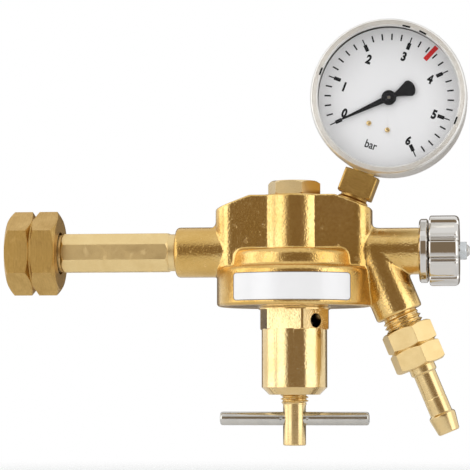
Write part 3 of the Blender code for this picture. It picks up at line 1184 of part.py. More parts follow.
def shutoff_group():
    """The shut-off valve: collar, spindle, O-ring, plug, knob and the nut that holds the knob."""
    mouth = VALVE_BOSS_END
    collar_low = mouth + SEAT_GAP
    collar_high = collar_low + COLLAR_LENGTH
    shank_low = mouth - COLLAR_SHANK_LENGTH
    hole = SPINDLE_RADIUS + RUN_GAP
    groove_low = mouth - 3.0 * MM
    groove_high = groove_low + 2 * ORING_WIRE + 0.5 * MM
    groove = SPINDLE_RADIUS + 2 * ORING_WIRE + 0.3 * MM
    collar = [
        (hole, shank_low),
        (COLLAR_SHANK_RADIUS, shank_low),
        (COLLAR_SHANK_RADIUS, collar_low),
        (COLLAR_RADIUS - 0.6 * MM, collar_low),
        (COLLAR_RADIUS, collar_low + 0.8 * MM),
        (COLLAR_RADIUS, collar_high - 0.5 * MM),
        (COLLAR_RADIUS - 0.5 * MM, collar_high),
        (hole, collar_high),
        (hole, groove_high),
        (groove, groove_high),
        (groove, groove_low),
        (hole, groove_low),
    ]
    place("valve_collar", turned(collar, ROUND_STEPS, ring=True), PLATED, ALONG_X)
    ring_radius = SPINDLE_RADIUS + ORING_WIRE + 0.12 * MM
    middle = (groove_low + groove_high) / 2
    place(
        "spindle_o_ring",
        turned([(ring_radius + x, middle + z) for x, z in ring_section(ORING_WIRE)], SMALL_STEPS, ring=True),
        RUBBER,
        ALONG_X,
    )
    head_high = shank_low - 0.3 * MM - VALVE_PITCH * VALVE_TURNS - 0.5 * MM
    head_low = head_high - SPINDLE_HEAD_LENGTH
    knob_end = KNOB_START + KNOB_LENGTH
    spindle = [
        (0, head_low),
        (SPINDLE_HEAD_RADIUS - 0.4 * MM, head_low),
        (SPINDLE_HEAD_RADIUS, head_low + 0.4 * MM),
        (SPINDLE_HEAD_RADIUS, head_high - 0.3 * MM),
        (SPINDLE_HEAD_RADIUS - 0.3 * MM, head_high),
        (SPINDLE_RADIUS, head_high),
        (SPINDLE_RADIUS, knob_end - KNOB_WALL - SEAT_GAP),
        (SPINDLE_RADIUS - 0.6 * MM, knob_end - KNOB_WALL - SEAT_GAP),
        (SPINDLE_RADIUS - 0.6 * MM, SPINDLE_END - 0.8 * MM),
        (SPINDLE_RADIUS - 1.4 * MM, SPINDLE_END),
        (0, SPINDLE_END),
    ]
    piece = place("valve_spindle", turned(spindle, SMALL_STEPS), STEEL, ALONG_X)
    plug_low = VALVE_SEAT_X + SEAT_GAP
    plug_high = plug_low + PLUG_THICK
    boss = 1.6 * MM
    shaped(piece, "DIFFERENCE", rod(boss + RUN_GAP, head_low - MM, head_low + 2.4 * MM, SMALL_STEPS))
    plug = [
        (0, plug_low),
        (PLUG_RADIUS - 0.3 * MM, plug_low),
        (PLUG_RADIUS, plug_low + 0.3 * MM),
        (PLUG_RADIUS, plug_high),
        (boss, plug_high),
        (boss, head_low + 2.0 * MM),
        (0, head_low + 2.0 * MM),
    ]
    place("valve_plug", turned(plug, SMALL_STEPS), RUBBER, ALONG_X)
    knob = place("knob", prism(knob_outline(), KNOB_START, knob_end), PLATED, ALONG_X)
    rim = [
        (0, KNOB_START),
        (KNOB_RADIUS - 0.5 * MM, KNOB_START),
        (KNOB_RADIUS + 0.01 * MM, KNOB_START + 0.6 * MM),
        (KNOB_RADIUS + 0.01 * MM, knob_end - KNOB_RIM),
        (KNOB_RADIUS - 0.5 * MM, knob_end - 0.5 * MM),
        (KNOB_RADIUS - KNOB_RIM, knob_end),
        (0, knob_end),
    ]
    shaped(knob, "INTERSECT", turned(rim, FINE_STEPS))
    hollow = [
        (0, KNOB_START - MM),
        (KNOB_RADIUS - KNOB_GROOVE_DEPTH - 1.6 * MM, KNOB_START - MM),
        (KNOB_RADIUS - KNOB_GROOVE_DEPTH - 1.6 * MM, knob_end - KNOB_WALL - 0.9 * MM),
        (5.2 * MM, knob_end - KNOB_WALL - 0.9 * MM),
        (5.2 * MM, knob_end - KNOB_WALL),
        (SPINDLE_RADIUS - 0.6 * MM + FIT_GAP, knob_end - KNOB_WALL),
        (SPINDLE_RADIUS - 0.6 * MM + FIT_GAP, knob_end + MM),
        (0, knob_end + MM),
    ]
    shaped(knob, "DIFFERENCE", turned(hollow, ROUND_STEPS))
    nut_low = knob_end + SEAT_GAP
    nut_high = nut_low + KNOB_NUT_HEIGHT
    corner = KNOB_NUT_FLATS / math.sqrt(3) + 0.02 * MM
    bore = SPINDLE_RADIUS - 0.6 * MM + FIT_GAP
    nut = [
        (corner, nut_low),
        (corner, nut_high - 0.6 * MM),
        (KNOB_NUT_FLATS / 2 - 0.1 * MM, nut_high),
        (bore, nut_high),
        (bore, nut_low),
    ]
    hex_nut("knob_nut", KNOB_NUT_FLATS, 0.0, nut, PLATED, ALONG_X)


def ring_section(wire):
    """A round section for an O-ring."""
    return [(wire * math.cos(a), wire * math.sin(a)) for a in ring_angles(10)]


def knob_outline():
    """The knob's lobes with a rounded groove between each pair."""
    points = []
    half = math.asin(KNOB_GROOVE_WIDTH / 2 / KNOB_RADIUS)
    step = math.tau / KNOB_LOBES
    for lobe in range(KNOB_LOBES):
        centre = math.pi / 2 + lobe * step
        for k in range(5):
            angle = centre + (k / 4 - 0.5) * (step - 2 * half)
            points.append((KNOB_RADIUS * math.cos(angle), KNOB_RADIUS * math.sin(angle)))
        groove = centre + step / 2
        for k in (-0.6, 0.0, 0.6):
            angle = groove + k * half
            radius = KNOB_RADIUS - KNOB_GROOVE_DEPTH * math.sqrt(1 - k * k)
            points.append((radius * math.cos(angle), radius * math.sin(angle)))
    return points


def outlet_group():
    """The hose tail and the left-hand nut that holds it against the branch."""
    head_low = BRANCH_THREAD_END + SEAT_GAP
    cone_low = BRANCH_THREAD_END - TAIL_CONE_LENGTH + 0.9 * MM
    head_high = head_low + TAIL_HEAD_LENGTH
    nut_back = head_high + SEAT_GAP
    tail = [
        (TAIL_BORE, cone_low),
        (OUTLET_WAY_RADIUS, cone_low),
        (OUTLET_WAY_RADIUS + head_low - cone_low, head_low),
        (TAIL_HEAD_RADIUS, head_low),
        (TAIL_HEAD_RADIUS, head_high),
        (TAIL_COLLAR_RADIUS, head_high),
        (TAIL_COLLAR_RADIUS, TAIL_COLLAR_END - 0.4 * MM),
        (TAIL_COLLAR_RADIUS - 0.4 * MM, TAIL_COLLAR_END),
        (TAIL_SHANK_RADIUS, TAIL_COLLAR_END + 0.3 * MM),
        (TAIL_SHANK_RADIUS, TAIL_END - TAIL_BARB_LENGTH),
        (TAIL_BARB_RADIUS, TAIL_END - TAIL_BARB_LENGTH + 0.8 * MM),
        (TAIL_BARB_RADIUS, TAIL_END - TAIL_BARB_LENGTH + 1.8 * MM),
        (TAIL_TIP_RADIUS + 0.3 * MM, TAIL_END - 0.5 * MM),
        (TAIL_TIP_RADIUS - 0.2 * MM, TAIL_END),
        (TAIL_BORE, TAIL_END),
    ]
    place("hose_tail", turned(tail, ROUND_STEPS, ring=True), TURNED_BRASS, BRANCH)
    thread = BRANCH_THREAD_RADIUS + FIT_GAP
    inside = [
        (HOSE_NUT_BACK_BORE, HOSE_NUT_END),
        (HOSE_NUT_BACK_BORE, nut_back),
        (thread, nut_back),
        (thread, HOSE_NUT_START),
    ]
    profile = grooved_profile(
        HOSE_NUT_FLATS,
        HOSE_NUT_START,
        HOSE_NUT_END,
        (HOSE_NUT_START + HOSE_NUT_END) / 2,
        0.9 * MM,
        HOSE_NUT_GROOVE_RADIUS,
        0.9 * MM,
        inside,
    )
    hex_nut("hose_nut", HOSE_NUT_FLATS, HOSE_NUT_TURN + math.pi / 2, profile, SATIN_BRASS, BRANCH)


def main():
    clear_scene()
    inlet_group()
    body_group()
    poppet_group()
    plate_low = diaphragm_group()
    bonnet_group(plate_low)
    label_group()
    gauge_group()
    shutoff_group()
    outlet_group()


main()
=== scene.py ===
"""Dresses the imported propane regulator: forged and turned brass, a chromed knob and a dial gauge.

Lengths inside the script are in millimetres, and a mesh is turned into metres when it is made. A profile
is a row of (radius, height) points, which is turned about the piece's own Z axis.
"""

import math

import bmesh
import bpy
from mathutils import Matrix, Vector


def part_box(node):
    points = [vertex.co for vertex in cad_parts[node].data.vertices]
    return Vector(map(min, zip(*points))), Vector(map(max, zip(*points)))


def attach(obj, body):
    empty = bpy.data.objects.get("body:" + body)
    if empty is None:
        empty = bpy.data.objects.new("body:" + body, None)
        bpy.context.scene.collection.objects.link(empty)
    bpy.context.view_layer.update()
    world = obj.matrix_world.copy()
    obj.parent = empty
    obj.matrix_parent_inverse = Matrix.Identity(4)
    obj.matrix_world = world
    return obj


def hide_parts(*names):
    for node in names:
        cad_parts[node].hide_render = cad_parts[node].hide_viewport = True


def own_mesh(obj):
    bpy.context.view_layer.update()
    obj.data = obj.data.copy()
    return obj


bl_info = {
    "name": "Propane Regulator",
    "version": (1, 0, 0),
    "blender": (4, 5, 0),
    "location": "3D View > Sidebar > Regulator",
    "description": "Builds the visible pieces and finishes of a propane regulator round its packed frame",
    "category": "Object",
}

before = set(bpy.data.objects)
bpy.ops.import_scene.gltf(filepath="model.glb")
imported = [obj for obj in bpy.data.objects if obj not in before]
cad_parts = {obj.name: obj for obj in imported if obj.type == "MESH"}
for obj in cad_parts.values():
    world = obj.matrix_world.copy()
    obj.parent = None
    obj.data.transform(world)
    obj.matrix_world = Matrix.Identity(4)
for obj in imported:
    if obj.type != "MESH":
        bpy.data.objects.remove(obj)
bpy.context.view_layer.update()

MM = 0.001
ROOT = "regulator"
SMOOTH_ANGLE = math.radians(38)
CUT, JOIN, LIMIT = "DIFFERENCE", "UNION", "INTERSECT"


def node_box(name):
    """A CAD node's lowest and highest corners in millimetres."""
    low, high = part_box(name)
    return Vector(low) / MM, Vector(high) / MM


def node_middle(name):
    """The middle of a CAD node's box in millimetres."""
    low, high = node_box(name)
    return (low + high) / 2


def at(x, y, z):
    """A shift by millimetres, as a matrix in metres."""
    return Matrix.Translation(Vector((x, y, z)) * MM)


def about(axis, degrees):
    """A turn about an axis, as a matrix."""
    return Matrix.Rotation(math.radians(degrees), 4, axis)


# Layout: the axes come from the frame, and the tilts and the branch's place are the CAD model's own
GAUGE_TILT, BRANCH_TILT = 21.0, 22.5
MAIN_X = node_middle("valve_cap").x
BRANCH_X = MAIN_X + 32.3
GAUGE_MIDDLE = node_middle("gauge_window")
ALONG_X = about("Y", 90)
MAIN = at(MAIN_X, 0, 0)
BRANCH = at(BRANCH_X, 0, 0) @ about("Y", 180 - BRANCH_TILT)
GAUGE_ORIGIN = at(GAUGE_MIDDLE.x, 0, GAUGE_MIDDLE.z)
GAUGE = GAUGE_ORIGIN @ about("Y", GAUGE_TILT) @ about("X", 90)
GAUGE_LEVEL = GAUGE_ORIGIN @ about("X", 90)
SOCKET = GAUGE_ORIGIN @ about("Y", 180 + GAUGE_TILT)


# Meshes


def smoothed(mesh, angle=SMOOTH_ANGLE):
    """Shades a mesh smooth, apart from the edges that turn by more than the angle."""
    mesh.shade_smooth()
    mesh.set_sharp_from_angle(angle=angle)
    return mesh


def closed_mesh(bm, sharp=SMOOTH_ANGLE):
    """Turns a bmesh in millimetres into a clean mesh in metres."""
    bmesh.ops.remove_doubles(bm, verts=bm.verts, dist=0.002)
    bmesh.ops.dissolve_degenerate(bm, edges=bm.edges, dist=0.0001)
    bmesh.ops.recalc_face_normals(bm, faces=bm.faces)
    mesh = bpy.data.meshes.new("shape")
    bm.to_mesh(mesh)
    bm.free()
    mesh.transform(Matrix.Scale(MM, 4))
    return smoothed(mesh, sharp)


def softened(profile, radius=0.3, least_turn=math.radians(24)):
    """The same outline with each sharp corner rounded by a short curve."""
    ring = profile[0][0] > 0
    points = [Vector(point) for point in profile]
    soft = []
    for k, point in enumerate(points):
        back = points[k - 1] - point
        on = points[(k + 1) % len(points)] - point
        turn = math.pi - back.angle(on)
        if turn < least_turn or not ring and k in (0, len(points) - 1):
            soft.append(tuple(point))
            continue
        reach = min(radius * math.tan(turn / 2), back.length * 0.45, on.length * 0.45)
        start = point + back.normalized() * reach
        end = point + on.normalized() * reach
        for u in (0, 0.33, 0.67, 1):
            soft.append(tuple(start * (1 - u) ** 2 + point * 2 * u * (1 - u) + end * u**2))
    return soft


def turned(profile, steps=128):
    """A solid turned about local Z; a profile that starts off the axis closes on itself."""
    bm = bmesh.new()
    points = [bm.verts.new((radius, 0, height)) for radius, height in profile]
    edges = [bm.edges.new(pair) for pair in zip(points, points[1:])]
    if profile[0][0] > 0:
        edges.append(bm.edges.new((points[-1], points[0])))
    round_z = {"cent": (0, 0, 0), "axis": (0, 0, 1), "angle": math.tau}
    bmesh.ops.spin(bm, geom=points + edges, steps=steps, use_merge=True, **round_z)
    return closed_mesh(bm)


def rod(radius, low, high, steps=64):
    """A plain cylinder about local Z, for cutting and joining."""
    return turned([(0, low), (radius, low), (radius, high), (0, high)], steps)


def prism(outline, low, high):
    """An outline of (x, y) points extruded along local Z."""
    bm = bmesh.new()
    base = bm.faces.new([bm.verts.new((x, y, low)) for x, y in outline])
    grown = bmesh.ops.extrude_face_region(bm, geom=[base])
    top = [part for part in grown["geom"] if isinstance(part, bmesh.types.BMVert)]
    bmesh.ops.translate(bm, verts=top, vec=(0, 0, high - low))
    return closed_mesh(bm)


def skin(rings, caps=True, sharp=SMOOTH_ANGLE):
    """A skin over rings of the same number of points, with a flat cap on each end."""
    bm = bmesh.new()
    rows = [[bm.verts.new(point) for point in ring] for ring in rings]
    count = len(rows[0])
    for first, second in zip(rows, rows[1:]):
        for k in range(count):
            after = (k + 1) % count
            bm.faces.new((first[k], first[after], second[after], second[k]))
    if caps:
        bm.faces.new(rows[0])
        bm.faces.new(reversed(rows[-1]))
    return closed_mesh(bm, sharp)


def ring(steps, height, reach):
    """Points round local Z at one height, each as far out as reach says for its number."""
    angles = [math.tau * k / steps for k in range(steps)]
    return [(reach(k) * math.cos(a), reach(k) * math.sin(a), height) for k, a in enumerate(angles)]


def arc(x, y, radius, start, end, steps):
    """Points on a round stretch of an outline, from start to end in degrees."""
    angles = [math.radians(start + (end - start) * k / steps) for k in range(steps + 1)]
    return [(x + radius * math.cos(a), y + radius * math.sin(a)) for a in angles]


def rounded_box(width, height, corner, steps=8):
    """A rectangle about the origin with round corners."""
    x = width / 2 - corner
    y = height / 2 - corner
    corners = ((x, y, 0), (-x, y, 90), (-x, -y, 180), (x, -y, 270))
    return [point for cx, cy, a in corners for point in arc(cx, cy, corner, a, a + 90, steps)]


def polygon(sides, flats, turn=0.0):
    """A regular polygon of that width across flats, with the middle of one flat at turn degrees."""
    radius = flats / 2 / math.cos(math.pi / sides)
    angles = [math.radians(turn) + math.tau * (k + 0.5) / sides for k in range(sides)]
    return [(radius * math.cos(a), radius * math.sin(a)) for a in angles]


def across_corners(flats):
    """A hexagon's reach at its corners, and a hair more, so that a cut leaves them whole."""
    return flats / math.sqrt(3) + 0.02


def grooved_nut(flats, start, end, chamfer, groove, half, flat):
    """The outside of a hexagon nut with the groove round its middle that marks a left-hand thread."""
    corner, middle, face = across_corners(flats), (start + end) / 2, flats / 2 - 0.3
    lower = [(face, start), (corner, start + chamfer), (corner, middle - half), (groove, middle - flat)]
    upper = [(groove, middle + flat), (corner, middle + half), (corner, end - chamfer), (face, end)]
    return lower + upper


def threaded(before, after, radius, depth, pitch, low, high, steps=72):
    """A solid about local Z with a V-thread of one start between low and high.

    before and after are the (radius, height) points of the plain stretches on each side.
    """
    per_turn, crest, slope = 12, 0.1, 0.75
    count = max(2, round((high - low) / pitch * per_turn))
    rows = [(r, z, 0.0) for r, z in before]
    for k in range(count + 1):
        z = low + (high - low) * k / count
        fade = min(1.0, (z - low) / pitch + 0.15, (high - z) / pitch + 0.15)
        rows.append((radius - depth * (1 - fade), z, depth * fade))
    rows += [(r, z, 0.0) for r, z in after]

    def valley(phase):
        """How deep the groove is at that share of a turn, from 0 to 1."""
        return min(max((abs(2 * (phase % 1) - 1) - crest) / slope, 0), 1)

    return skin([ring(steps, z, lambda j: r - cut * valley(z / pitch - j / steps)) for r, z, cut in rows])


def coil(wire, radius, turns, low, high, around=40, sides=12):
    """A compression spring about local Z, with its end turns closed up, as one swept tube."""
    lift = 2.05 * wire
    pitch = (high - low - 2 * wire - 2 * lift) / (turns - 2)
    angles = [math.tau * side / sides for side in range(sides)]
    up = Vector((0, 0, 1))
    rings = []
    for k in range(turns * around + 1):
        turn = k / around
        ends = min(turn, 1) + max(turn - turns + 1, 0)
        middle = min(max(turn - 1, 0), turns - 2)
        out = Vector((math.cos(math.tau * turn), math.sin(math.tau * turn), 0))
        centre = out * radius + up * (low + wire + ends * lift + middle * pitch)
        rings.append([centre + out * wire * math.cos(a) + up * (wire * math.sin(a)) for a in angles])
    return skin(rings)


def joined(parts):
    """One mesh from several closed ones, each moved to its place; the single ones go."""
    bm = bmesh.new()
    for mesh, place in parts:
        mesh.transform(place)
        bm.from_mesh(mesh)
        bpy.data.meshes.remove(mesh)
    mesh = bpy.data.meshes.new("shape")
    bm.to_mesh(mesh)
    bm.free()
    return mesh


# Pieces


def stand(name, data, place=Matrix()):
    """A new object in the scene, standing at that place."""
    obj = bpy.data.objects.new(name, data)
    bpy.context.scene.collection.objects.link(obj)
    obj.matrix_world = place
    return obj


def shaped(obj, operation, mesh, place=None, solver="EXACT"):
    """Joins, cuts or limits a piece by another shape, at the piece's own place unless given one."""
    tool = stand("shape", mesh, place or obj.matrix_world)
    modifier = obj.modifiers.new("Shape", "BOOLEAN")
    modifier.operation = operation
    modifier.solver = solver
    modifier.object = tool
    settled(obj)
    bpy.data.objects.remove(tool, do_unlink=True)
    bpy.data.meshes.remove(mesh)
    return obj


def settled(obj):
    """Keeps the mesh that a piece's modifiers make, and drops the modifiers."""
    bpy.context.view_layer.update()
    depsgraph = bpy.context.evaluated_depsgraph_get()
    mesh = bpy.data.meshes.new_from_object(obj.evaluated_get(depsgraph))
    old = obj.data
    obj.modifiers.clear()
    obj.data = mesh
    bpy.data.meshes.remove(old)
    if not mesh.polygons:
        raise RuntimeError(f"{obj.name} has lost its faces")
    return obj


def eased(obj, width=0.25, segments=2):
    """Breaks the sharp edges of a piece by a small bevel."""
    bevel = obj.modifiers.new("Bevel", "BEVEL")
    bevel.width = width * MM
    bevel.segments = segments
    bevel.limit_method = "ANGLE"
    bevel.angle_limit = math.radians(28)
    bevel.use_clamp_overlap = True
    smoothed(settled(obj).data)
    return obj


def laid(obj):
    """Puts a piece's place into its mesh, so that its box stays tight."""
    obj.data.transform(obj.matrix_world)
    obj.matrix_world = Matrix()
    return obj


def hexagon_bar(name, flats, turn, profile, place):
    """A piece turned from hexagon bar, with its corners cut back by the turned profile."""
    heights = [height for _, height in profile]
    obj = stand(name, prism(polygon(6, flats, turn), min(heights) - 1, max(heights) + 1), place)
    return shaped(obj, LIMIT, turned(profile, 144))


def dressed(obj, finish, body=ROOT, node=None):
    """Gives a piece its finish and even shading, hangs it under its body and hides the node it replaces.

    A piece called after a CAD node, with _dressed behind it, replaces that node.
    """
    obj.data.materials.clear()
    obj.data.materials.append(finished(finish))
    even = obj.modifiers.new("Even shading", "WEIGHTED_NORMAL")
    even.keep_sharp = True
    even.weight = 60
    settled(obj)
    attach(obj, body)
    if obj.name.endswith("_dressed"):
        node = node or obj.name.removesuffix("_dressed")
    if node:
        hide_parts(node)
    return obj


def painted(finish, *nodes):
    """Gives CAD nodes that stay as they are a material made here."""
    for name in nodes:
        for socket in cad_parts[name].material_slots:
            socket.material = finished(finish)


# Effects, each a node group that the finishes share


def add_node(tree, kind, inputs=None, **settings):
    """A new node with its settings made and its inputs filled or linked."""
    made = tree.nodes.new(kind)
    for name, value in settings.items():
        setattr(made, name, value)
    for name, value in (inputs or {}).items():
        if isinstance(value, bpy.types.NodeSocket):
            tree.links.new(value, made.inputs[name])
        else:
            made.inputs[name].default_value = value
    return made


def ranged(tree, value, low, high, to_low=0.0, to_high=1.0):
    """A value stretched from one range to another, and held inside it."""
    inputs = {"Value": value, "From Min": low, "From Max": high, "To Min": to_low, "To Max": to_high}
    return add_node(tree, "ShaderNodeMapRange", inputs, clamp=True).outputs["Result"]


def sum_of(tree, first, second, operation="ADD"):
    """Two values added, or joined by another operation."""
    return add_node(tree, "ShaderNodeMath", {0: first, 1: second}, operation=operation).outputs[0]


def product(tree, first, second):
    """Two values multiplied."""
    return sum_of(tree, first, second, "MULTIPLY")


def noise(tree, inputs):
    """The value of a noise texture."""
    return add_node(tree, "ShaderNodeTexNoise", inputs).outputs["Fac"]


def patches(tree, place):
    """Broad cloudy patches, such as tarnish and finger marks."""
    wide = noise(tree, {**place, "Detail": 5.0, "Distortion": 0.6})
    return None, ranged(tree, wide, 0.36, 0.66)


def grain(tree, place):
    """The sandy skin of a forging: small pits and a fine grain."""
    fine = noise(tree, {**place, "Detail": 4.0, "Roughness": 0.65})
    cells = add_node(tree, "ShaderNodeTexVoronoi", place, feature="F1")
    pits = ranged(tree, cells.outputs["Distance"], 0.1, 0.55)
    height = sum_of(tree, product(tree, fine, 0.8), product(tree, pits, 0.45))
    return height, ranged(tree, fine, 0.42, 0.62)


def lathe(tree, place):
    """Fine rings round the local Z axis, as a lathe tool leaves them."""
    split = add_node(tree, "ShaderNodeSeparateXYZ", {"Vector": place["Vector"]}).outputs
    flat = add_node(tree, "ShaderNodeCombineXYZ", {"X": split["X"], "Y": split["Y"]}).outputs[0]
    reach = add_node(tree, "ShaderNodeVectorMath", {0: flat}, operation="LENGTH").outputs["Value"]
    along = add_node(tree, "ShaderNodeCombineXYZ", {"X": reach, "Z": split["Z"]}).outputs[0]
    rings = noise(tree, {**place, "Vector": along, "Detail": 2.0})
    return rings, ranged(tree, rings, 0.35, 0.65)


def scratches(tree, place):
    """Thin handling scratches in two directions."""
    lines = []
    for turn, shift in ((0.5, 3.0), (-0.9, 11.0)):
        inputs = {"Location": (shift,) * 3, "Rotation": (turn, turn * 0.7, turn), "Scale": (1.0, 0.08, 1.0)}
        inputs["Vector"] = place["Vector"]
        mapped = add_node(tree, "ShaderNodeMapping", inputs).outputs["Vector"]
        lines.append(ranged(tree, noise(tree, {**place, "Vector": mapped, "Detail": 3.0}), 0.66, 0.72))
    mask = sum_of(tree, *lines, "MAXIMUM")
    return product(tree, mask, -1.0), mask


def edges(tree, place):
    """Where an edge stands proud and gets rubbed."""
    shape = tree.nodes.new("ShaderNodeNewGeometry")
    return None, ranged(tree, shape.outputs["Pointiness"], 0.56, 0.68)


# Each effect's maker and its inputs with their usual values; one with a height adds it to what comes in
FLAT_INPUTS = {"Coordinates": None, "Scale": 60.0}
RELIEF_INPUTS = {"Coordinates": None, "Scale": 900.0, "Amount": 1.0, "Height": 0.0}
EFFECTS = {
    "patches": (patches, FLAT_INPUTS),
    "grain": (grain, RELIEF_INPUTS),
    "lathe": (lathe, RELIEF_INPUTS),
    "scratch": (scratches, RELIEF_INPUTS),
    "edge": (edges, {}),
}
GROUPS = {}


def effect_group(name):
    """The node group of one effect, made when it is first asked for."""
    if name in GROUPS:
        return GROUPS[name]
    make, inputs = EFFECTS[name]
    tree = GROUPS[name] = bpy.data.node_groups.new(name.title(), "ShaderNodeTree")
    for label, usual in inputs.items():
        kind = "NodeSocketVector" if usual is None else "NodeSocketFloat"
        socket = tree.interface.new_socket(name=label, in_out="INPUT", socket_type=kind)
        if usual is not None:
            socket.default_value = usual
    for label in ("Height", "Mask") if "Height" in inputs else ("Mask",):
        tree.interface.new_socket(name=label, in_out="OUTPUT", socket_type="NodeSocketFloat")
    start, end = tree.nodes.new("NodeGroupInput").outputs, tree.nodes.new("NodeGroupOutput").inputs
    place = {"Vector": start["Coordinates"], "Scale": start["Scale"]} if inputs else {}
    height, mask = make(tree, place)
    tree.links.new(mask, end["Mask"])
    if height:
        raised = product(tree, height, start["Amount"])
        tree.links.new(sum_of(tree, raised, start["Height"]), end["Height"])
    return tree


def effect(tree, name, inputs=None):
    """One of the shared effects, placed in a material with its own values."""
    return add_node(tree, "ShaderNodeGroup", inputs, node_tree=effect_group(name)).outputs


# Finishes

# The amounts of a finish that says nothing else. spread is how far the roughness wanders, and depth is the
# height of the relief in millimetres.
USUAL = dict(metallic=1.0, stain=0.5, patch_scale=60.0, spread=0.12, depth=0.02, edge=0.0, coat=0.0)
USUAL |= dict(grain=0.0, grain_scale=900.0, lathe=0.0, lathe_scale=2500.0, scratch=0.3)
USUAL |= dict(scratch_scale=260.0, gloss=0.5)
STEEL = dict(stain=0.45, patch_scale=130.0, lathe=0.2, scratch=0.2, spread=0.08, depth=0.008)
PAINT = dict(metallic=0.0, stain=0.3, patch_scale=80.0, grain=0.15, grain_scale=2200.0, scratch=0.08)
PAINT |= dict(spread=0.06, depth=0.006, coat=0.3)

# Each finish: the record's slot, the clean and the stained colour, the roughness, and its own amounts. A
# colour is a setting's name, or that with a factor, or three values. A stained one may be a factor of the
# clean one.
FINISHES = {
    # The pickled, sandy skin of the forging, rubbed bright on its round edges
    "forged_brass": ("forged_brass", "brass", "brass_shade", 0.18, dict(
        stain=0.85, patch_scale=48.0, grain=1.0, grain_scale=950.0, scratch=0.5, edge=0.5, spread=0.08,
        depth=0.075)),
    # The smoother, brighter brass of the bonnet, with a finer grain
    "polished_brass": ("forged_brass", "turned", "brass_shade", 0.13, dict(
        patch_scale=70.0, grain=0.9, grain_scale=1000.0, scratch=0.4, edge=0.3, spread=0.07, depth=0.045)),
    # Brass straight from the lathe, with its tool rings
    "turned_brass": ("turned_brass", "turned", "turned_shade", 0.2, dict(
        stain=0.35, patch_scale=90.0, lathe=0.6, scratch=0.25, spread=0.08, depth=0.012)),
    # The duller milled brass of the inlet nut and the gauge's socket
    "satin_brass": ("satin_brass", "satin", "satin_shade", 0.36, dict(
        stain=0.35, patch_scale=160.0, grain=0.2, grain_scale=1500.0, lathe=0.9, lathe_scale=1600.0,
        scratch=0.4, spread=0.08, depth=0.025)),
    # The pale, dull brass of drawn bar, on the inlet's octagon stem and the hose nut
    "drawn_brass": ("turned_brass", "drawn", "turned_shade", 0.34, dict(
        stain=0.3, patch_scale=120.0, grain=0.3, grain_scale=1300.0, scratch=0.5, spread=0.08, depth=0.015)),
    # Chromium plating on the knob and its collar
    "bright_plating": ("plated_steel", "plating", (0.62, 0.60, 0.58), 0.06, dict(
        stain=0.2, patch_scale=70.0, scratch=0.2, spread=0.05, depth=0.008)),
    "plain_steel": ("plain_steel", (0.56, 0.55, 0.53), 0.72, 0.22, {**STEEL, "lathe": 0.3}),
    "bar_steel": ("plain_steel", (0.60, 0.59, 0.56), 0.72, 0.16, STEEL),
    "spring_steel": ("plain_steel", (0.34, 0.33, 0.32), 0.72, 0.35, {**STEEL, "lathe": 0.0}),
    "zinc_steel": ("plated_steel", (0.66, 0.69, 0.71), 0.72, 0.24, STEEL),
    # The pale stainless steel of the gauge's case and bezel
    "case_steel": ("case_steel", "case", 0.72, 0.38, {**STEEL, "lathe": 0.1, "scratch": 0.0}),
    "label_white": ("white_enamel", "paper", 0.93, 0.3, {**PAINT, "coat": 0.5}),
    "label_edge_paint": ("black_enamel", (0.12, 0.085, 0.05), 0.93, 0.4, PAINT),
    # The dial's white is the label's white lifted by 6%: painted light that makes up for the shade the case
    # and window cast on the dial
    "dial_white": ("white_enamel", ("paper", 1.06), 0.93, 0.4, {**PAINT, "coat": 0.2}),
    "red_print": ("white_enamel", (0.70, 0.02, 0.02), 0.93, 0.6, {**PAINT, "coat": 0.0, "gloss": 0.2}),
    "black_print": ("black_enamel", (0.01, 0.01, 0.011), 0.93, 0.6, {**PAINT, "coat": 0.0, "gloss": 0.12}),
    # Matt black rubber with a bloom of dust
    "black_rubber": ("black_rubber", (0.02, 0.02, 0.022), (0.06, 0.055, 0.05), 0.6, dict(
        metallic=0.0, stain=0.6, grain=0.5, grain_scale=1800.0, scratch=0.0)),
    "seal_fibre": (None, (0.33, 0.14, 0.09), (0.24, 0.10, 0.07), 0.7, dict(
        metallic=0.0, grain=0.8, grain_scale=2000.0, scratch=0.0)),
    "sintered_bronze": ("sintered_bronze", (0.46, 0.30, 0.15), (0.22, 0.13, 0.06), 0.6, dict(
        grain=1.4, grain_scale=2600.0, scratch=0.0, depth=0.12)),
    "clear_window": ("clear_window", (0.35, 0.36, 0.37), 1.0, 0.02, {}),
}


def coloured(value, clean=None):
    """The three values of a colour in FINISHES."""
    if isinstance(value, float):
        return tuple(value * c for c in clean)
    if isinstance(value, str):
        value = (value, 1.0)
    if len(value) == 2:
        name, factor = value
        return tuple(factor * c for c in getattr(bpy.context.scene.regulator_finish, name))
    return value


def blended_colour(tree, mask, amount, first, second):
    """Two colours mixed by a mask and an amount."""
    inputs = {0: product(tree, mask, amount), 6: first, 7: second}
    inputs = {key: (*value, 1.0) if isinstance(value, tuple) else value for key, value in inputs.items()}
    return add_node(tree, "ShaderNodeMix", inputs, data_type="RGBA").outputs[2]


def new_material(name):
    """A material with its Principled shader ready to be filled."""
    material = bpy.data.materials.new(name)
    material.use_nodes = True
    tree = material.node_tree
    return material, tree, tree.nodes["Principled BSDF"].inputs


def finished(name):
    """The material of one of the FINISHES, made when it is first asked for.

    The frame brings plain materials that are named after the record's slots, so those made here end in
    _finish.
    """
    found = bpy.data.materials.get(f"{name}_finish")
    if found:
        return found
    _, colour, shade, roughness, own = FINISHES[name]
    colour = coloured(colour)
    material, tree, shader = new_material(f"{name}_finish")
    where = tree.nodes.new("ShaderNodeTexCoord").outputs["Object"]
    if name == "clear_window":
        see_through(tree, shader, where, colour, roughness)
    else:
        worn(tree, shader, where, colour, coloured(shade, colour), roughness, {**USUAL, **own})
    return material


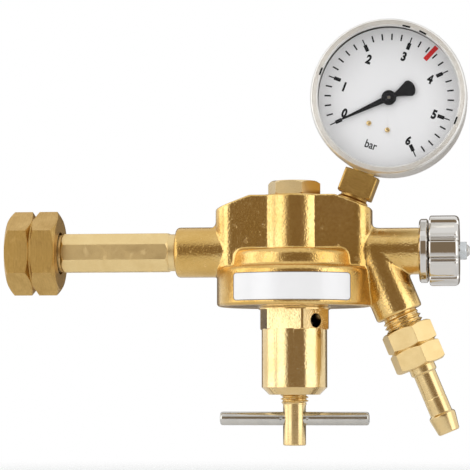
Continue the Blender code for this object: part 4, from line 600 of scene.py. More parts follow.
def worn(tree, shader, where, colour, shade, roughness, amount):
    """Patches, grain, lathe rings, scratches and rubbed edges, each in its own amount."""
    mask = effect(tree, "patches", {"Coordinates": where, "Scale": amount["patch_scale"]})["Mask"]
    base = blended_colour(tree, mask, amount["stain"], colour, shade)
    rough = ranged(tree, mask, 0.0, 1.0, roughness - amount["spread"] / 3, roughness + amount["spread"])
    relief = {}
    for kind in ("grain", "lathe", "scratch"):
        if not amount[kind]:
            continue
        inputs = {"Coordinates": where, "Scale": amount[f"{kind}_scale"], "Amount": amount[kind], **relief}
        made = effect(tree, kind, inputs)
        relief = {"Height": made["Height"]}
        if kind == "scratch":
            base = blended_colour(tree, made["Mask"], 0.35 * amount[kind], base, paler(colour, 0.08))
            rough = sum_of(tree, rough, product(tree, made["Mask"], 0.15 * amount[kind]))
        else:
            base = blended_colour(tree, made["Mask"], 0.4 * amount[kind], base, shade)
    if amount["edge"]:
        base = blended_colour(tree, effect(tree, "edge")["Mask"], amount["edge"], base, paler(colour, 0.04))
    tree.links.new(base, shader["Base Color"])
    tree.links.new(rough, shader["Roughness"])
    shader["Metallic"].default_value = amount["metallic"]
    shader["Specular IOR Level"].default_value = amount["gloss"]
    if amount["coat"]:
        shader["Coat Weight"].default_value = amount["coat"]
        shader["Coat Roughness"].default_value = 0.08
    if relief:
        relief |= {"Strength": 1.0, "Distance": amount["depth"] * MM}
        tree.links.new(add_node(tree, "ShaderNodeBump", relief).outputs["Normal"], shader["Normal"])


def paler(colour, lift):
    """The same colour, rubbed bright."""
    return tuple(min(1.0, lift + 1.1 * c) for c in colour)


def see_through(tree, shader, where, colour, roughness):
    """The gauge's clear window: nearly all see-through, with a soft gloss towards its edge."""
    shader["Base Color"].default_value = (*colour, 1.0)
    mask = effect(tree, "patches", {"Coordinates": where, "Scale": 40.0})["Mask"]
    tree.links.new(ranged(tree, mask, 0.0, 1.0, roughness, 0.07), shader["Roughness"])
    slant = add_node(tree, "ShaderNodeLayerWeight", {"Blend": 0.15}).outputs["Facing"]
    tree.links.new(ranged(tree, slant, 0.0, 1.0, 0.015, 0.25), shader["Alpha"])


# Settings


def colour_property(name, description, default):
    """A colour that a user can change in the panel."""
    return bpy.props.FloatVectorProperty(
        name=name, description=description, default=default, subtype="COLOR", size=3, min=0.0, max=1.0
    )


class RegulatorFinish(bpy.types.PropertyGroup):
    """The colours of the regulator's metals and paint."""

    brass: colour_property("Forged Brass", "Clean colour of the forged body", (0.80, 0.57, 0.24))
    brass_shade: colour_property("Forged Brass Stain", "Colour of its tarnished skin", (0.60, 0.37, 0.10))
    turned: colour_property("Turned Brass", "Clean turned pieces and bonnet", (0.80, 0.62, 0.33))
    turned_shade: colour_property("Turned Brass Stain", "Their stained colour", (0.68, 0.48, 0.20))
    drawn: colour_property("Drawn Brass", "Colour of the inlet's stem and hose nut", (0.83, 0.64, 0.32))
    satin: colour_property("Milled Brass", "Clean inlet nut and gauge socket", (0.64, 0.42, 0.14))
    satin_shade: colour_property("Milled Brass Stain", "Their stained colour", (0.38, 0.22, 0.05))
    plating: colour_property("Plating", "Colour of the plated knob and collar", (0.68, 0.66, 0.63))
    case: colour_property("Case Steel", "Colour of the gauge's case and bezel", (0.92, 0.91, 0.88))
    paper: colour_property("Label and Dial", "Colour of the label plate and the dial", (0.86, 0.86, 0.87))


class RegulatorShape(bpy.types.PropertyGroup):
    """Sizes of the dressing that the frame doesn't give."""

    forging_detail: bpy.props.FloatProperty(
        name="Forging Detail",
        description="Size of the steps in which the forged body is blended",
        default=0.00045,
        min=0.0003,
        unit="LENGTH",
        precision=5,
    )
    forging_blend: bpy.props.IntProperty(
        name="Forging Blend", description="How often the forged body is smoothed", default=9, min=0, max=40
    )
    knob_lobes: bpy.props.IntProperty(
        name="Knob Lobes", description="Number of lobes round the knob", default=10, min=5, max=24
    )
    bezel_rings: bpy.props.IntProperty(
        name="Bezel Rings", description="Number of fine rings turned in the bezel", default=3, min=0, max=8
    )
    screw_pitch: bpy.props.FloatProperty(
        name="Screw Pitch",
        description="Pitch of the adjusting screw's thread",
        default=0.0015,
        min=0.0005,
        unit="LENGTH",
        precision=5,
    )


class RegulatorStage(bpy.types.PropertyGroup):
    """The camera and the light."""

    azimuth: bpy.props.FloatProperty(
        name="Azimuth", description="How far round the camera is", default=math.radians(7), subtype="ANGLE"
    )
    elevation: bpy.props.FloatProperty(
        name="Elevation", description="How high the camera is", default=math.radians(-3.8), subtype="ANGLE"
    )
    distance: bpy.props.FloatProperty(
        name="Distance", description="From the camera to the regulator", default=0.95, min=0.3, unit="LENGTH"
    )
    view_width: bpy.props.FloatProperty(
        name="View Width", description="Width that the camera sees", default=0.1927, min=0.05, unit="LENGTH"
    )
    lamp_level: bpy.props.FloatProperty(
        name="Lamp Level", description="Strength of the soft lamps", default=1.0, min=0.0, subtype="FACTOR"
    )


def sizes():
    """The present shape settings."""
    return bpy.context.scene.regulator_shape


# Forged body

BLOCK_HALF = 31.8


def block_mesh():
    """The forged block: round upright corners under a top that slopes down at both ends."""
    depth, corner, top, flat = 11.0, 7.0, 22.8, 17.4
    reach = BLOCK_HALF + 1
    side = top - (reach - flat) * math.tan(math.radians(GAUGE_TILT))
    front = [(-reach, -9), (reach, -9), (reach, side), (flat, top), (-flat, top), (-reach, side)]
    block = stand("block", prism(rounded_box(2 * BLOCK_HALF, 2 * depth, corner, 12), -8, top + 1))
    mesh = shaped(block, LIMIT, prism(front, -25, 25), about("X", 90)).data
    bpy.data.objects.remove(block)
    return mesh


def web_mesh(boss, side):
    """The concave blend between a boss and the end of the block."""
    fillet, depth = 3.2, 4.0
    x, z, far = BLOCK_HALF - 1, boss - 1, BLOCK_HALF + fillet
    high = math.sqrt(boss**2 - depth**2) + fillet
    outline = [(x, z - 1), (far, z - 1)] + arc(far, high, fillet, 270, 180, 12) + [(x, high)]
    return prism([(side * along, up) for along, up in outline], -depth, depth)


def bowl_profile(bowl):
    """The diaphragm bowl under its rolled shoulder."""
    shoulder, top, step, low = bowl - 6.0, 0.6, -6.6, -22.5
    crown = arc(shoulder - 3.0, top - 3.0, 3.0, 90, 0, 12)
    edge = arc(bowl - 2.4, step - 2.4, 2.4, 90, 0, 12)
    foot = arc(bowl - 1.2, low + 1.2, 1.2, 0, -90, 8)
    rise = [(shoulder + 0.4, step + 0.9), (shoulder + 1.3, step)]
    return [(0, top)] + crown + rise + edge + foot + [(0, low)]


def drill(body, bowl, end):
    """Cuts the bowl's hollow and the bores, which leaves their mouths crisp."""
    skirt, middle, room = bowl - 4.6, MAIN_X - 2, end - 8.6
    chamber = skirt - 4.5
    hollow = [(0, -6.4), (chamber - 1.5, -6.4), (chamber, -7.9), (chamber, -11), (skirt, -11), (skirt, -24)]
    hollow += [(0, -24)]
    cap = [(0, 26), (9.12, 26), (9.12, 21.8), (8.12, 21.8), (8.12, 10.2), (7.4, 10.2), (7.4, -3)]
    cap += [(4.52, -3), (4.52, -7.4), (0, -7.4)]
    inlet = [(0, 55), (6.72, 55), (6.72, 69.9), (3, 69.9), (3, middle), (0, middle)]
    valve = [(0, 120.5), (2.6, 120.5), (2.6, 131.1), (4, 131.1), (3.1, 132.5), (5.2, 132.5), (5.2, room)]
    valve += [(7.72, room), (7.72, end + 2), (0, end + 2)]
    gauge = [(0, 40), (6.52, 40), (6.52, 53.4), (2.1, 54.0), (2.1, 65), (0, 65)]
    outlet = [(0, 1), (4.2, 1), (4.2, 24.5), (6.9, 24.5), (6.9, 30), (0, 30)]
    bores = [(hollow, MAIN), (cap, MAIN), (inlet, ALONG_X), (valve, ALONG_X)]
    for profile, place in bores + [(gauge, SOCKET), (outlet, BRANCH)]:
        shaped(body, CUT, turned(profile, 96), place, solver="MANIFOLD")


class REGULATOR_OT_body(bpy.types.Operator):
    """Forged body with its bowl, bosses, branch and drilled ways"""

    bl_idname = "regulator.body"
    bl_label = "Forged Body"

    def execute(self, context):
        low, high = node_box("body")
        bowl = high.y
        inlet, valve, branch, tip = 10.3, 9.5, 9.75, 27.8
        near, upright = MAIN_X - 12, MAIN @ about("X", 90)
        core = [(0, -8), (14.5, -8), (14.5, high.z - 0.6), (13.9, high.z), (0, high.z)]
        inlet_boss = [(0, low.x), (inlet - 0.8, low.x), (inlet, low.x + 0.8), (inlet, near), (0, near)]
        branch_boss = arc(0, 0, branch, -90, 0, 16) + [(branch, tip - 0.5), (branch - 0.5, tip), (0, tip)]
        parts = [
            (block_mesh(), MAIN),
            (turned(core), MAIN),
            (turned(bowl_profile(bowl), 192), MAIN),
            (turned(inlet_boss), ALONG_X),
            (rod(valve, MAIN_X + 12, high.x, 128), ALONG_X),
            (web_mesh(inlet, -1), upright),
            (web_mesh(valve, 1), upright),
            (turned(branch_boss), BRANCH),
        ]
        body = stand("forged_body", joined(parts))
        remesh = body.modifiers.new("Blend", "REMESH")
        remesh.mode = "VOXEL"
        remesh.voxel_size = sizes().forging_detail
        smooth = body.modifiers.new("Ease", "SMOOTH")
        smooth.factor = 0.5
        smooth.iterations = sizes().forging_blend
        drill(settled(body), bowl, high.x)
        smoothed(body.data, math.radians(50))
        dressed(body, "forged_brass", node="body")
        before, crest, depth, pitch = [(6.8, 24.6), (6.8, tip + 0.1), (6.9, tip + 0.4)], 7.9, 1.0, 1.8
        thread = threaded(before, [(6.4, 40.95)], crest, depth, pitch, tip + 0.6, 40.5)
        spout = stand("branch_thread", thread, BRANCH)
        shaped(spout, CUT, turned([(0, 25), (4.2, 25), (4.2, 38), (7.2, 41.3), (7.2, 42), (0, 42)]))
        dressed(spout, "turned_brass")
        return {"FINISHED"}


class REGULATOR_OT_cap(bpy.types.Operator):
    """Hexagon cap over the valve"""

    bl_idname = "regulator.cap"
    bl_label = "Valve Cap"

    def execute(self, context):
        low, high = node_box("valve_cap")
        flats, seat, shank = 19.0, high.z - 5.6, 8.0
        corner = across_corners(flats)
        outer = [(0, seat), (corner - 0.7, seat), (corner, seat + 0.5), (corner, high.z - 1.1)]
        outer += [(flats / 2 - 0.2, high.z), (0, high.z)]
        cap = hexagon_bar("valve_cap_dressed", flats, -98, outer, MAIN)
        stem = [(0, low.z), (shank - 0.8, low.z), (shank, low.z + 0.8), (shank, seat + 1), (0, seat + 1)]
        shaped(cap, JOIN, turned(stem))
        shaped(cap, CUT, rod(4.2, low.z - 1, low.z + 8))
        dressed(eased(cap, 0.22), "turned_brass")
        return {"FINISHED"}


# Inlet


def union_nut():
    """The left-hand union nut with the groove that marks its thread, and its own thread inside."""
    low, high = node_box("inlet_union_nut")
    flats = 30.0
    bore = [(8.75, high.x), (8.75, 5.0), (10.6, 5.0), (10.6, low.x + 1.0), (11.2, low.x)]
    outside = grooved_nut(flats, low.x, high.x, 1.5, 14.7, 1.5, 0.25)
    nut = hexagon_bar("union_nut_dressed", flats, 90, outside + bore, ALONG_X)
    dressed(eased(nut, 0.2), "satin_brass", "inlet_nut", "inlet_union_nut")
    wall, inner, pitch, start, end = 10.75, 9.9, 1.8, low.x + 1.2, 4.6
    count, steps, run_out = 64, 72, 6
    rings, sleeve = [], []

    def ridge(phase):
        """How far the thread stands in at that share of a turn, from 0 to 1."""
        return max(0.0, 1 - abs(2 * (phase % 1) - 1) * 1.3)

    for k in range(count + 1):
        x = start + (end - start) * k / count
        depth = (wall - 0.2 - inner) * min(1.0, k / run_out, (count - k) / run_out)
        rings.append(ring(steps, x, lambda j: wall - 0.2 - ridge(x / pitch + j / steps) * depth))
        sleeve.append(ring(steps, x, lambda j: wall))
    thread = stand("union_nut_thread", skin(rings + sleeve[::-1] + rings[:1], caps=False), ALONG_X)
    dressed(thread, "satin_brass", "inlet_nut")


def inlet_stem():
    """The octagon stem with its collar, round necks and bore."""
    low, high = node_box("inlet_stem")
    start, end, run_out, neck, half, room = 9.6, 55.4, 1.6, 7.6, 8.4, 6.7
    barrel = [(0, start - 0.6), (neck - 0.8, start - 0.6), (half, start + run_out), (half, end - run_out)]
    barrel += [(neck - 0.8, end + 0.6), (0, end + 0.6)]
    stem = stand("inlet_stem_dressed", prism(polygon(8, 15.7), start - 1, end + 1), ALONG_X)
    shaped(stem, LIMIT, turned(barrel, 144))
    head = [(0, low.x), (5.6, low.x), (6.08, low.x + 0.5), (6.08, 2.3), (9.0, 2.3), (9.3, 2.6), (9.3, 4.4)]
    head += [(9.0, 4.7), (neck, 4.7), (neck, start + 0.8), (0, start + 0.8)]
    shaped(stem, JOIN, turned(head))
    foot = [(0, end - 0.8), (neck, end - 0.8), (neck, 57.3), (6.6, 57.3), (6.6, high.x - 0.6), (6.0, high.x)]
    shaped(stem, JOIN, turned(foot + [(0, high.x)]))
    shaped(stem, CUT, turned([(0, -3), (4.72, -3), (4.72, room), (3.2, room), (3.2, 72), (0, 72)]))
    dressed(eased(stem, 0.22), "drawn_brass")


def inlet_ring(node, finish, wall, soft):
    """A soft-edged ring as long and as wide as its CAD node, with a wall of that thickness."""
    low, high = node_box(node)
    inside = high.z - wall
    outline = [(inside, low.x), (high.z, low.x), (high.z, high.x), (inside, high.x)]
    dressed(stand(f"{node}_dressed", turned(softened(outline, soft)), ALONG_X), finish)


def inlet_filter():
    """The domed filter in the stem's mouth."""
    low, high = node_box("inlet_filter")
    radius = high.z
    dome = [(0, low.x + 1.6), (1.4, low.x + 1.0), (radius - 1.2, low.x), (radius, low.x), (radius, high.x)]
    piece = stand("inlet_filter_dressed", turned(softened(dome + [(0, high.x)], 0.3)), ALONG_X)
    dressed(piece, "sintered_bronze")


class REGULATOR_OT_inlet(bpy.types.Operator):
    """Union nut, octagon stem, seal, filter and clip"""

    bl_idname = "regulator.inlet"
    bl_label = "Inlet"

    def execute(self, context):
        union_nut()
        inlet_stem()
        inlet_ring("inlet_seal", "black_rubber", node_box("inlet_seal")[1].z - 6.2, 0.4)
        inlet_filter()
        inlet_ring("filter_clip", "plain_steel", 1.3, 0.35)
        return {"FINISHED"}


# Bonnet, screw and bar


class REGULATOR_OT_bonnet(bpy.types.Operator):
    """Bonnet with its hexagon, vent and round barrel"""

    bl_idname = "regulator.bonnet"
    bl_label = "Bonnet"

    def execute(self, context):
        low, high = node_box("bonnet")
        disc = high.y
        flats, top, under, foot = 25.6, -23.6, -31.8, -22.5
        barrel, chamfer = 13.35, 3.0
        limit = [(0, under), (14.0, under), (14.5, under + 0.4), (14.5, top + 1), (0, top + 1)]
        bonnet = stand("bonnet_dressed", prism(polygon(6, flats, -102), under, top + 0.5), MAIN)
        shaped(bonnet, LIMIT, turned(limit, 144))
        outer = [(0, high.z), (disc, high.z), (disc, foot), (16.0, foot), (14.6, foot - 0.7), (14.6, top)]
        outer += [(12.3, top), (12.3, under + 0.3), (barrel, under + 0.3), (barrel, low.z + chamfer)]
        outer += [(barrel - chamfer, low.z), (0, low.z)]
        shaped(bonnet, JOIN, turned(outer, 144))
        pocket, floor, hole = high.z - 4.4, -53.4, 5.79
        hollow = [(0, high.z + 1), (22.3, high.z + 1), (22.3, pocket), (10.4, pocket), (10.4, floor)]
        hollow += [(hole, floor), (hole, low.z - 1), (0, low.z - 1)]
        shaped(bonnet, CUT, turned(hollow, 96))
        shaped(bonnet, CUT, rod(2.9, 8, 20), MAIN @ at(0, 0, -28.3) @ about("Z", 48) @ about("X", 90))
        dressed(eased(bonnet, 0.35, 3), "polished_brass")
        return {"FINISHED"}


class REGULATOR_OT_screw(bpy.types.Operator):
    """Adjusting screw with its thread, and the bar through it"""

    bl_idname = "regulator.screw"
    bl_label = "Screw and Bar"

    def execute(self, context):
        low = node_box("adjusting_screw")[0].z
        crest, shank, bar, run_out, tip = 5.7, 4.65, 2.75, -62.2, -51.4
        pitch = sizes().screw_pitch / MM
        before = [(0.5, low), (shank - 0.5, low), (shank - 0.15, low + 0.15), (shank, low + 0.5)]
        before += [(shank, run_out - 0.3)]
        screw = threaded(before, [(2.6, tip), (2.4, tip)], crest, 0.95, pitch, run_out + 0.1, tip - 0.3)
        piece = stand("adjusting_screw_dressed", screw, MAIN)
        across = MAIN @ at(0, 0, node_middle("tommy_bar").z) @ ALONG_X
        shaped(piece, CUT, rod(bar + 0.1, -10, 10), across)
        shaped(piece, CUT, turned([(0, tip + 1), (2.2, tip + 1), (0.8, tip - 1.2), (0, tip - 1.2)], 48))
        dressed(piece, "turned_brass", "screw_and_bar")
        half = node_box("tommy_bar")[1].x - MAIN_X
        side = [(bar - 1.1, half), (bar - 0.45, half - 0.15), (bar - 0.1, half - 0.55), (bar, half - 1.1)]
        profile = [(0, -half)] + [(r, -z) for r, z in side] + side[::-1] + [(0, half)]
        handle = stand("tommy_bar_dressed", turned(profile, 96), across)
        for way in (-1, 1):
            dent = turned([(0, 2.0), (0.5, 2.3), (0.95, 3.2), (0, 3.2)], 32)
            shaped(handle, CUT, dent, across @ at(0, 0, way * (shank + 0.75)) @ about("X", 90))
        dressed(handle, "bar_steel", "screw_and_bar")
        return {"FINISHED"}


class REGULATOR_OT_springs(bpy.types.Operator):
    """Main spring inside the bonnet, finely wound"""

    bl_idname = "regulator.springs"
    bl_label = "Main Spring"

    def execute(self, context):
        low, high = node_box("main_spring")
        wire, radius, turns = 1.25, 8.1, 7
        spring = stand("main_spring_dressed", coil(wire, radius, turns, low.z, high.z), MAIN)
        dressed(spring, "spring_steel")
        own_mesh(spring)
        return {"FINISHED"}


# Label

LABEL_THICK, LABEL_STRIPS = 0.6, 60


def half_angle(width, radius):
    """Half the angle that a plate of that straight width covers on a cylinder."""
    return math.asin(width / 2 / radius)


def bent(share, spread, radius, z):
    """A point at that share of the plate's half width, put on an upright cylinder, in front of its axis."""
    return radius * math.sin(share * spread), -radius * math.cos(share * spread), z


def label_plate(outline, near, far, width):
    """The outline's plate, cut in narrow strips so that it bends smoothly."""
    bm = bmesh.new()
    bm.faces.new([bm.verts.new((x, 0, z)) for x, z in outline])
    for k in range(1, LABEL_STRIPS):
        x = -width / 2 + width * k / LABEL_STRIPS
        parts = [*bm.verts, *bm.edges, *bm.faces]
        bmesh.ops.bisect_plane(bm, geom=parts, plane_co=(x, 0, 0), plane_no=(1, 0, 0))
    grown = bmesh.ops.extrude_face_region(bm, geom=list(bm.faces))
    behind = {part for part in grown["geom"] if isinstance(part, bmesh.types.BMVert)}
    spread = half_angle(width, near)
    for vert in bm.verts:
        vert.co = bent(vert.co.x / (width / 2), spread, near if vert in behind else far, vert.co.z)
    return closed_mesh(bm, math.radians(30))


def label_line(outer, inside, radius):
    """A thin closed band between two outlines, laid on the plate's face."""
    half = max(x for x, _ in outer)
    spread = half_angle(half * 2, radius - LABEL_THICK)
    rings = []
    for outline, lift in ((outer, -0.1), (outer, 0.0), (inside, 0.0), (inside, -0.1)):
        points = []
        for (x, z), (next_x, next_z) in zip(outline, outline[1:] + outline[:1]):
            steps = LABEL_STRIPS if abs(next_x - x) > 10 else 1
            for share in (step / steps for step in range(steps)):
                along, up = x + (next_x - x) * share, z + (next_z - z) * share
                points.append(bent(along / half, spread, radius + lift, up))
        rings.append(points)
    return skin(rings + rings[:1], caps=False, sharp=math.radians(40))


class REGULATOR_OT_label(bpy.types.Operator):
    """Bare label plate bent round the bowl, with a thin dark line at its edge"""

    bl_idname = "regulator.label"
    bl_label = "Label Plate"

    def execute(self, context):
        low, high = node_box("label_plate")
        width, height, corner, near = 46.0, high.z - low.z, 1.5, node_box("body")[1].y + 0.3
        face = near + LABEL_THICK
        place = MAIN @ at(0, 0, (low.z + high.z) / 2) @ about("Z", 3)
        mesh = label_plate(rounded_box(width, height, corner), near, face, width)
        dressed(eased(laid(stand("label_plate_dressed", mesh, place)), 0.12), "label_white")
        outer = rounded_box(width - 0.06, height - 0.06, corner)
        inside = rounded_box(width - 0.62, height - 0.62, corner - 0.28)
        line = label_line(outer, inside, face + 0.03)
        dressed(laid(stand("label_edge", line, place)), "label_edge_paint")
        return {"FINISHED"}


# Gauge: heights are along its axis, from the back of the case to the window

DIAL_FACE = 10.6
ZERO_ANGLE, SWEEP, UNITS = 225.0, 270.0, 6


def dial_turn(reading):
    """The turn from the dial's right to that reading on its scale."""
    return about("Z", ZERO_ANGLE - SWEEP * reading / UNITS)


def lettering(text, height, weight):
    """Printed characters of that height, narrow and centred, as a thin raised mesh in metres."""
    narrow, raised = 0.82, 0.03
    curve = bpy.data.curves.new("print", "FONT")
    curve.body = text
    curve.size = height * MM
    curve.offset = weight * MM
    curve.extrude = raised * MM
    curve.resolution_u = 5
    holder = stand("print", curve)
    bpy.context.view_layer.update()
    mesh = bpy.data.meshes.new_from_object(holder.evaluated_get(bpy.context.evaluated_depsgraph_get()))
    bpy.data.objects.remove(holder)
    across, up = ([vertex.co[axis] for vertex in mesh.vertices] for axis in (0, 1))
    stretch = height * MM / (max(up) - min(up))
    middle = Matrix.Translation((-(min(across) + max(across)) / 2, -(min(up) + max(up)) / 2, 0))
    mesh.transform(Matrix.Diagonal((narrow * stretch, stretch, 1, 1)) @ middle)
    return mesh


def gauge_case():
    """The steel case, the bezel with its fine rings and marks, and the window."""
    radius, back, front, wall = 31.0, -9.5, 13.6, 0.9
    inner = radius - wall
    case = [(0, back), (radius - 3, back), (radius - 0.9, back + 0.9), (radius, back + 3), (radius, front)]
    case += [(inner, front), (inner, back + 3), (inner - 1.6, back + 1.3), (inner - 3.2, back + wall)]
    case = softened(case + [(0, back + wall)], 0.4)
    piece = stand("gauge_case_dressed", turned(case, 192), GAUGE_LEVEL)
    shaped(piece, CUT, rod(4.72, 15, 41, 48), SOCKET)
    dressed(piece, "case_steel")
    clamp, rim, lip, face = radius + 0.1, radius + 0.5, 28.3, 18.0
    glass_back = front + 0.3
    glass = glass_back + 1.8
    bezel = [(clamp, front - 5), (rim, front - 5), (rim, glass), (rim - 0.3, face - 0.7), (rim - 0.9, face)]
    for k in range(sizes().bezel_rings):
        r = rim - 1.35 - k * 0.5
        bezel += [(r + 0.12, face), (r, face - 0.22), (r - 0.12, face)]
    bezel += [(lip + 0.6, face - 0.05), (lip + 0.1, face - 0.7), (lip, glass + 0.9), (lip, glass + 0.3)]
    hoop = softened(bezel + [(clamp, glass + 0.3)], 0.16, math.radians(30))
    dressed(stand("gauge_bezel_dressed", turned(hoop, 192), GAUGE_LEVEL), "case_steel")
    pane = softened([(0, glass_back), (radius - 0.3, glass_back), (radius - 0.3, glass), (0, glass)], 0.2)
    dressed(stand("gauge_window_dressed", turned(pane), GAUGE_LEVEL), "clear_window")
    marks = []
    for angle in (0, 82, 96, 180):
        mark = prism(rounded_box(0.6, 3.2, 0.25, 3), face - 0.5, face + 0.03)
        marks.append((mark, about("Z", angle) @ at(lip + 0.55, 0, 0)))
    dressed(laid(stand("bezel_notches", joined(marks), GAUGE)), "black_print")


def gauge_dial():
    """The white dial with its printed scale, the red mark and the two screws."""
    back, front = DIAL_FACE - 0.8, DIAL_FACE
    plate = softened([(1.5, back), (28.6, back), (28.6, front), (1.5, front)], 0.12)
    dial = stand("gauge_dial_dressed", turned(plate, 144), GAUGE_LEVEL)
    screws = {side: GAUGE @ at(side * 4.0, -12.4, 0) for side in (-1, 1)}
    for place in screws.values():
        shaped(dial, CUT, rod(0.72, front - 2, front + 1, 24), place)
    # The dial's white is painted lighter than the label's to make up for the shade inside the case
    dressed(dial, "dial_white")
    dressed(laid(stand("dial_print", joined(dial_ink()), GAUGE)), "black_print")
    mark = prism(rounded_box(7.0, 1.9, 0.15, 2), front, front + 0.08)
    dressed(laid(stand("dial_red_mark", mark, GAUGE @ dial_turn(3.5) @ at(24.6, 0, 0))), "red_print")
    head = [(0, front - 1.6), (0.6, front - 1.6), (0.6, front + 0.3), (1.1, front + 0.3)]
    head += [(0.9, front + 0.65), (0.5, front + 0.8), (0, front + 0.8)]
    for side, name in ((-1, "dial_screw_left_dressed"), (1, "dial_screw_right_dressed")):
        turn = Matrix.Rotation(0.6 * side, 4, "Z")
        screw = stand(name, turned(softened(head, 0.12), 48), screws[side] @ turn)
        shaped(screw, CUT, prism([(-2, -0.16), (2, -0.16), (2, 0.16), (-2, 0.16)], front + 0.5, front + 1))
        dressed(screw, "turned_brass")


def dial_ink():
    """The dial's ticks, numbers and unit, with their places on it."""
    outer, parts = 26.1, 5
    # Length, width, corner radius and how far its middle is inside the scale's edge
    small = ((2.6, 0.6, 0.05, 1.25),)
    large = ((2.6, 0.45, 0.05, 1.3), (2.8, 1.45, 0.1, 3.8))
    ink = []
    for k in range(UNITS * parts + 1):
        for length, width, corner, inside in small if k % parts else large:
            tick = prism(rounded_box(length, width, corner, 1), DIAL_FACE, DIAL_FACE + 0.06)
            ink.append((tick, dial_turn(k / parts) @ at(outer - inside, 0, 0)))
    spots = ((19.0, 219), (18.7, 186), (17.8, 138), (17.8, 91), (18.2, 45), (19.4, 0), (19.0, -45))
    for number, (reach, angle) in enumerate(spots):
        x, y = reach * math.cos(math.radians(angle)), reach * math.sin(math.radians(angle))
        ink.append((lettering(str(number), 3.9, 0.2), at(x, y, DIAL_FACE + 0.03)))
    ink.append((lettering("bar", 3.3, 0.05), at(0, -20.3, DIAL_FACE + 0.03)))
    return ink


def gauge_pointer():
    """The black pointer with its flared tail and domed hub, at zero."""
    low, high = 11.5, 12.0
    side = [(23.2, 0.2), (3.0, 1.15), (-3.2, 1.0), (-5.2, 1.7), (-8.9, 3.3), (-10.1, 3.0), (-11.0, 1.7)]
    side += [(-11.3, 0.5)]
    outline = side + [(x, -y) for x, y in reversed(side)]
    pointer = stand("gauge_pointer_dressed", prism(outline[::-1], low, high), GAUGE @ dial_turn(0))
    hub = [(0, low - 0.1), (3.0, low - 0.1), (3.0, high + 0.3), (2.4, high + 0.75), (0, high + 0.75)]
    shaped(pointer, JOIN, turned(hub, 64))
    shaped(pointer, CUT, rod(0.83, low - 1, high + 2, 32))
    dressed(eased(pointer, 0.1), "black_print", "pointer_and_arbor")


def gauge_socket():
    """The socket with its square for the spanner."""
    width, top, bottom, neck, thread, end = 14.0, 31.6, 41.4, 4.6, 6.4, 53.1
    piece = stand("gauge_socket_dressed", prism(rounded_box(width, width, 0.9, 4), top, bottom), SOCKET)
    limit = [(0, top), (8.4, top), (9.6, top + 0.9), (9.6, bottom - 0.9), (8.4, bottom), (0, bottom)]
    eased(shaped(piece, LIMIT, turned(limit)), 0.2)
    upper = [(0, 16), (neck, 16), (neck, top + 0.5), (0, top + 0.5)]
    shank = thread - 0.9
    lower = [(0, bottom - 0.5), (shank, bottom - 0.5), (shank, bottom + 1.0), (thread, bottom + 1.8)]
    lower += [(thread, end - 0.8), (thread - 0.8, end), (0, end)]
    shaped(piece, JOIN, turned(softened(upper, 0.3), 64))
    shaped(piece, JOIN, turned(softened(lower, 0.2), 64))
    shaped(piece, JOIN, prism(rounded_box(12, 3.4, 1.0, 4), 15, 25))
    shaped(piece, CUT, rod(1.5, 19, end + 1, 24))
    smoothed(piece.data)
    dressed(piece, "satin_brass")


class REGULATOR_OT_gauge(bpy.types.Operator):
    """Pressure gauge: socket, case, bezel, window, dial with its print, screws and pointer"""

    bl_idname = "regulator.gauge"
    bl_label = "Pressure Gauge"

    def execute(self, context):
        gauge_case()
        gauge_dial()
        gauge_pointer()
        gauge_socket()
        return {"FINISHED"}


# Shut-off valve


def valve_collar():
    """The collar with the groove for the spindle's seal ring."""
    low, high = node_box("valve_collar")
    radius, shank, hole, seat = high.z, 7.6, 3.08, high.x - 3.6
    groove = (seat - 3.3, seat - 1.0)
    profile = [(hole, low.x), (shank - 0.5, low.x), (shank, low.x + 0.5), (shank, seat)]
    profile += [(radius - 0.7, seat), (radius, seat + 0.7), (radius, high.x - 0.6), (radius - 0.6, high.x)]
    profile += [(hole, high.x), (hole, groove[1]), (5.1, groove[1]), (5.1, groove[0]), (hole, groove[0])]
    dressed(stand("valve_collar_dressed", turned(softened(profile, 0.3)), ALONG_X), "bright_plating")


def valve_knob():
    """The knob's wide lobes with narrow grooves between them, and its hollow back."""
    low, high = node_box("knob")
    radius, depth, crown = 14.4, 1.25, 0.06
    half_groove, shoulder = math.asin(0.95 / radius), 1.6
    lobes = sizes().knob_lobes
    count, step = 32 * lobes, math.tau / lobes

    def reach(k):
        """How far the outline's k-th point is from the axis."""
        off = (math.tau * k / count - math.pi / 2 - step / 2) % step
        off = min(off, step - off)
        share = min(off / half_groove, shoulder) / shoulder
        cut = depth * (1 - share**2) ** 2
        return radius - crown + crown * math.cos(math.pi * (1 - off / (step / 2))) - cut

    # How far each ring is inside the outline, and its height
    ends = [(0.9, low.x), (0.35, low.x + 0.15), (0.08, low.x + 0.45), (0.0, low.x + 0.9)]
    ends += [(0.0, high.x - 1.9), (0.12, high.x - 1.2), (0.45, high.x - 0.6), (0.95, high.x - 0.2)]
    ends += [(1.6, high.x)]
    rings = [ring(count, x, lambda k: reach(k) - inset) for inset, x in ends]
    knob = stand("knob_dressed", skin(rings), ALONG_X)
    inner, wall = 11.6, 2.2
    hollow = [(0, low.x - 1), (inner, low.x - 1), (inner, high.x - wall - 0.9), (5.2, high.x - wall - 0.9)]
    hollow += [(5.2, high.x - wall), (2.52, high.x - wall), (2.52, high.x + 1), (0, high.x + 1)]
    shaped(knob, CUT, turned(softened(hollow, 0.3), 96))
    smoothed(knob.data, math.radians(34))
    dressed(knob, "bright_plating", "spindle_and_knob")


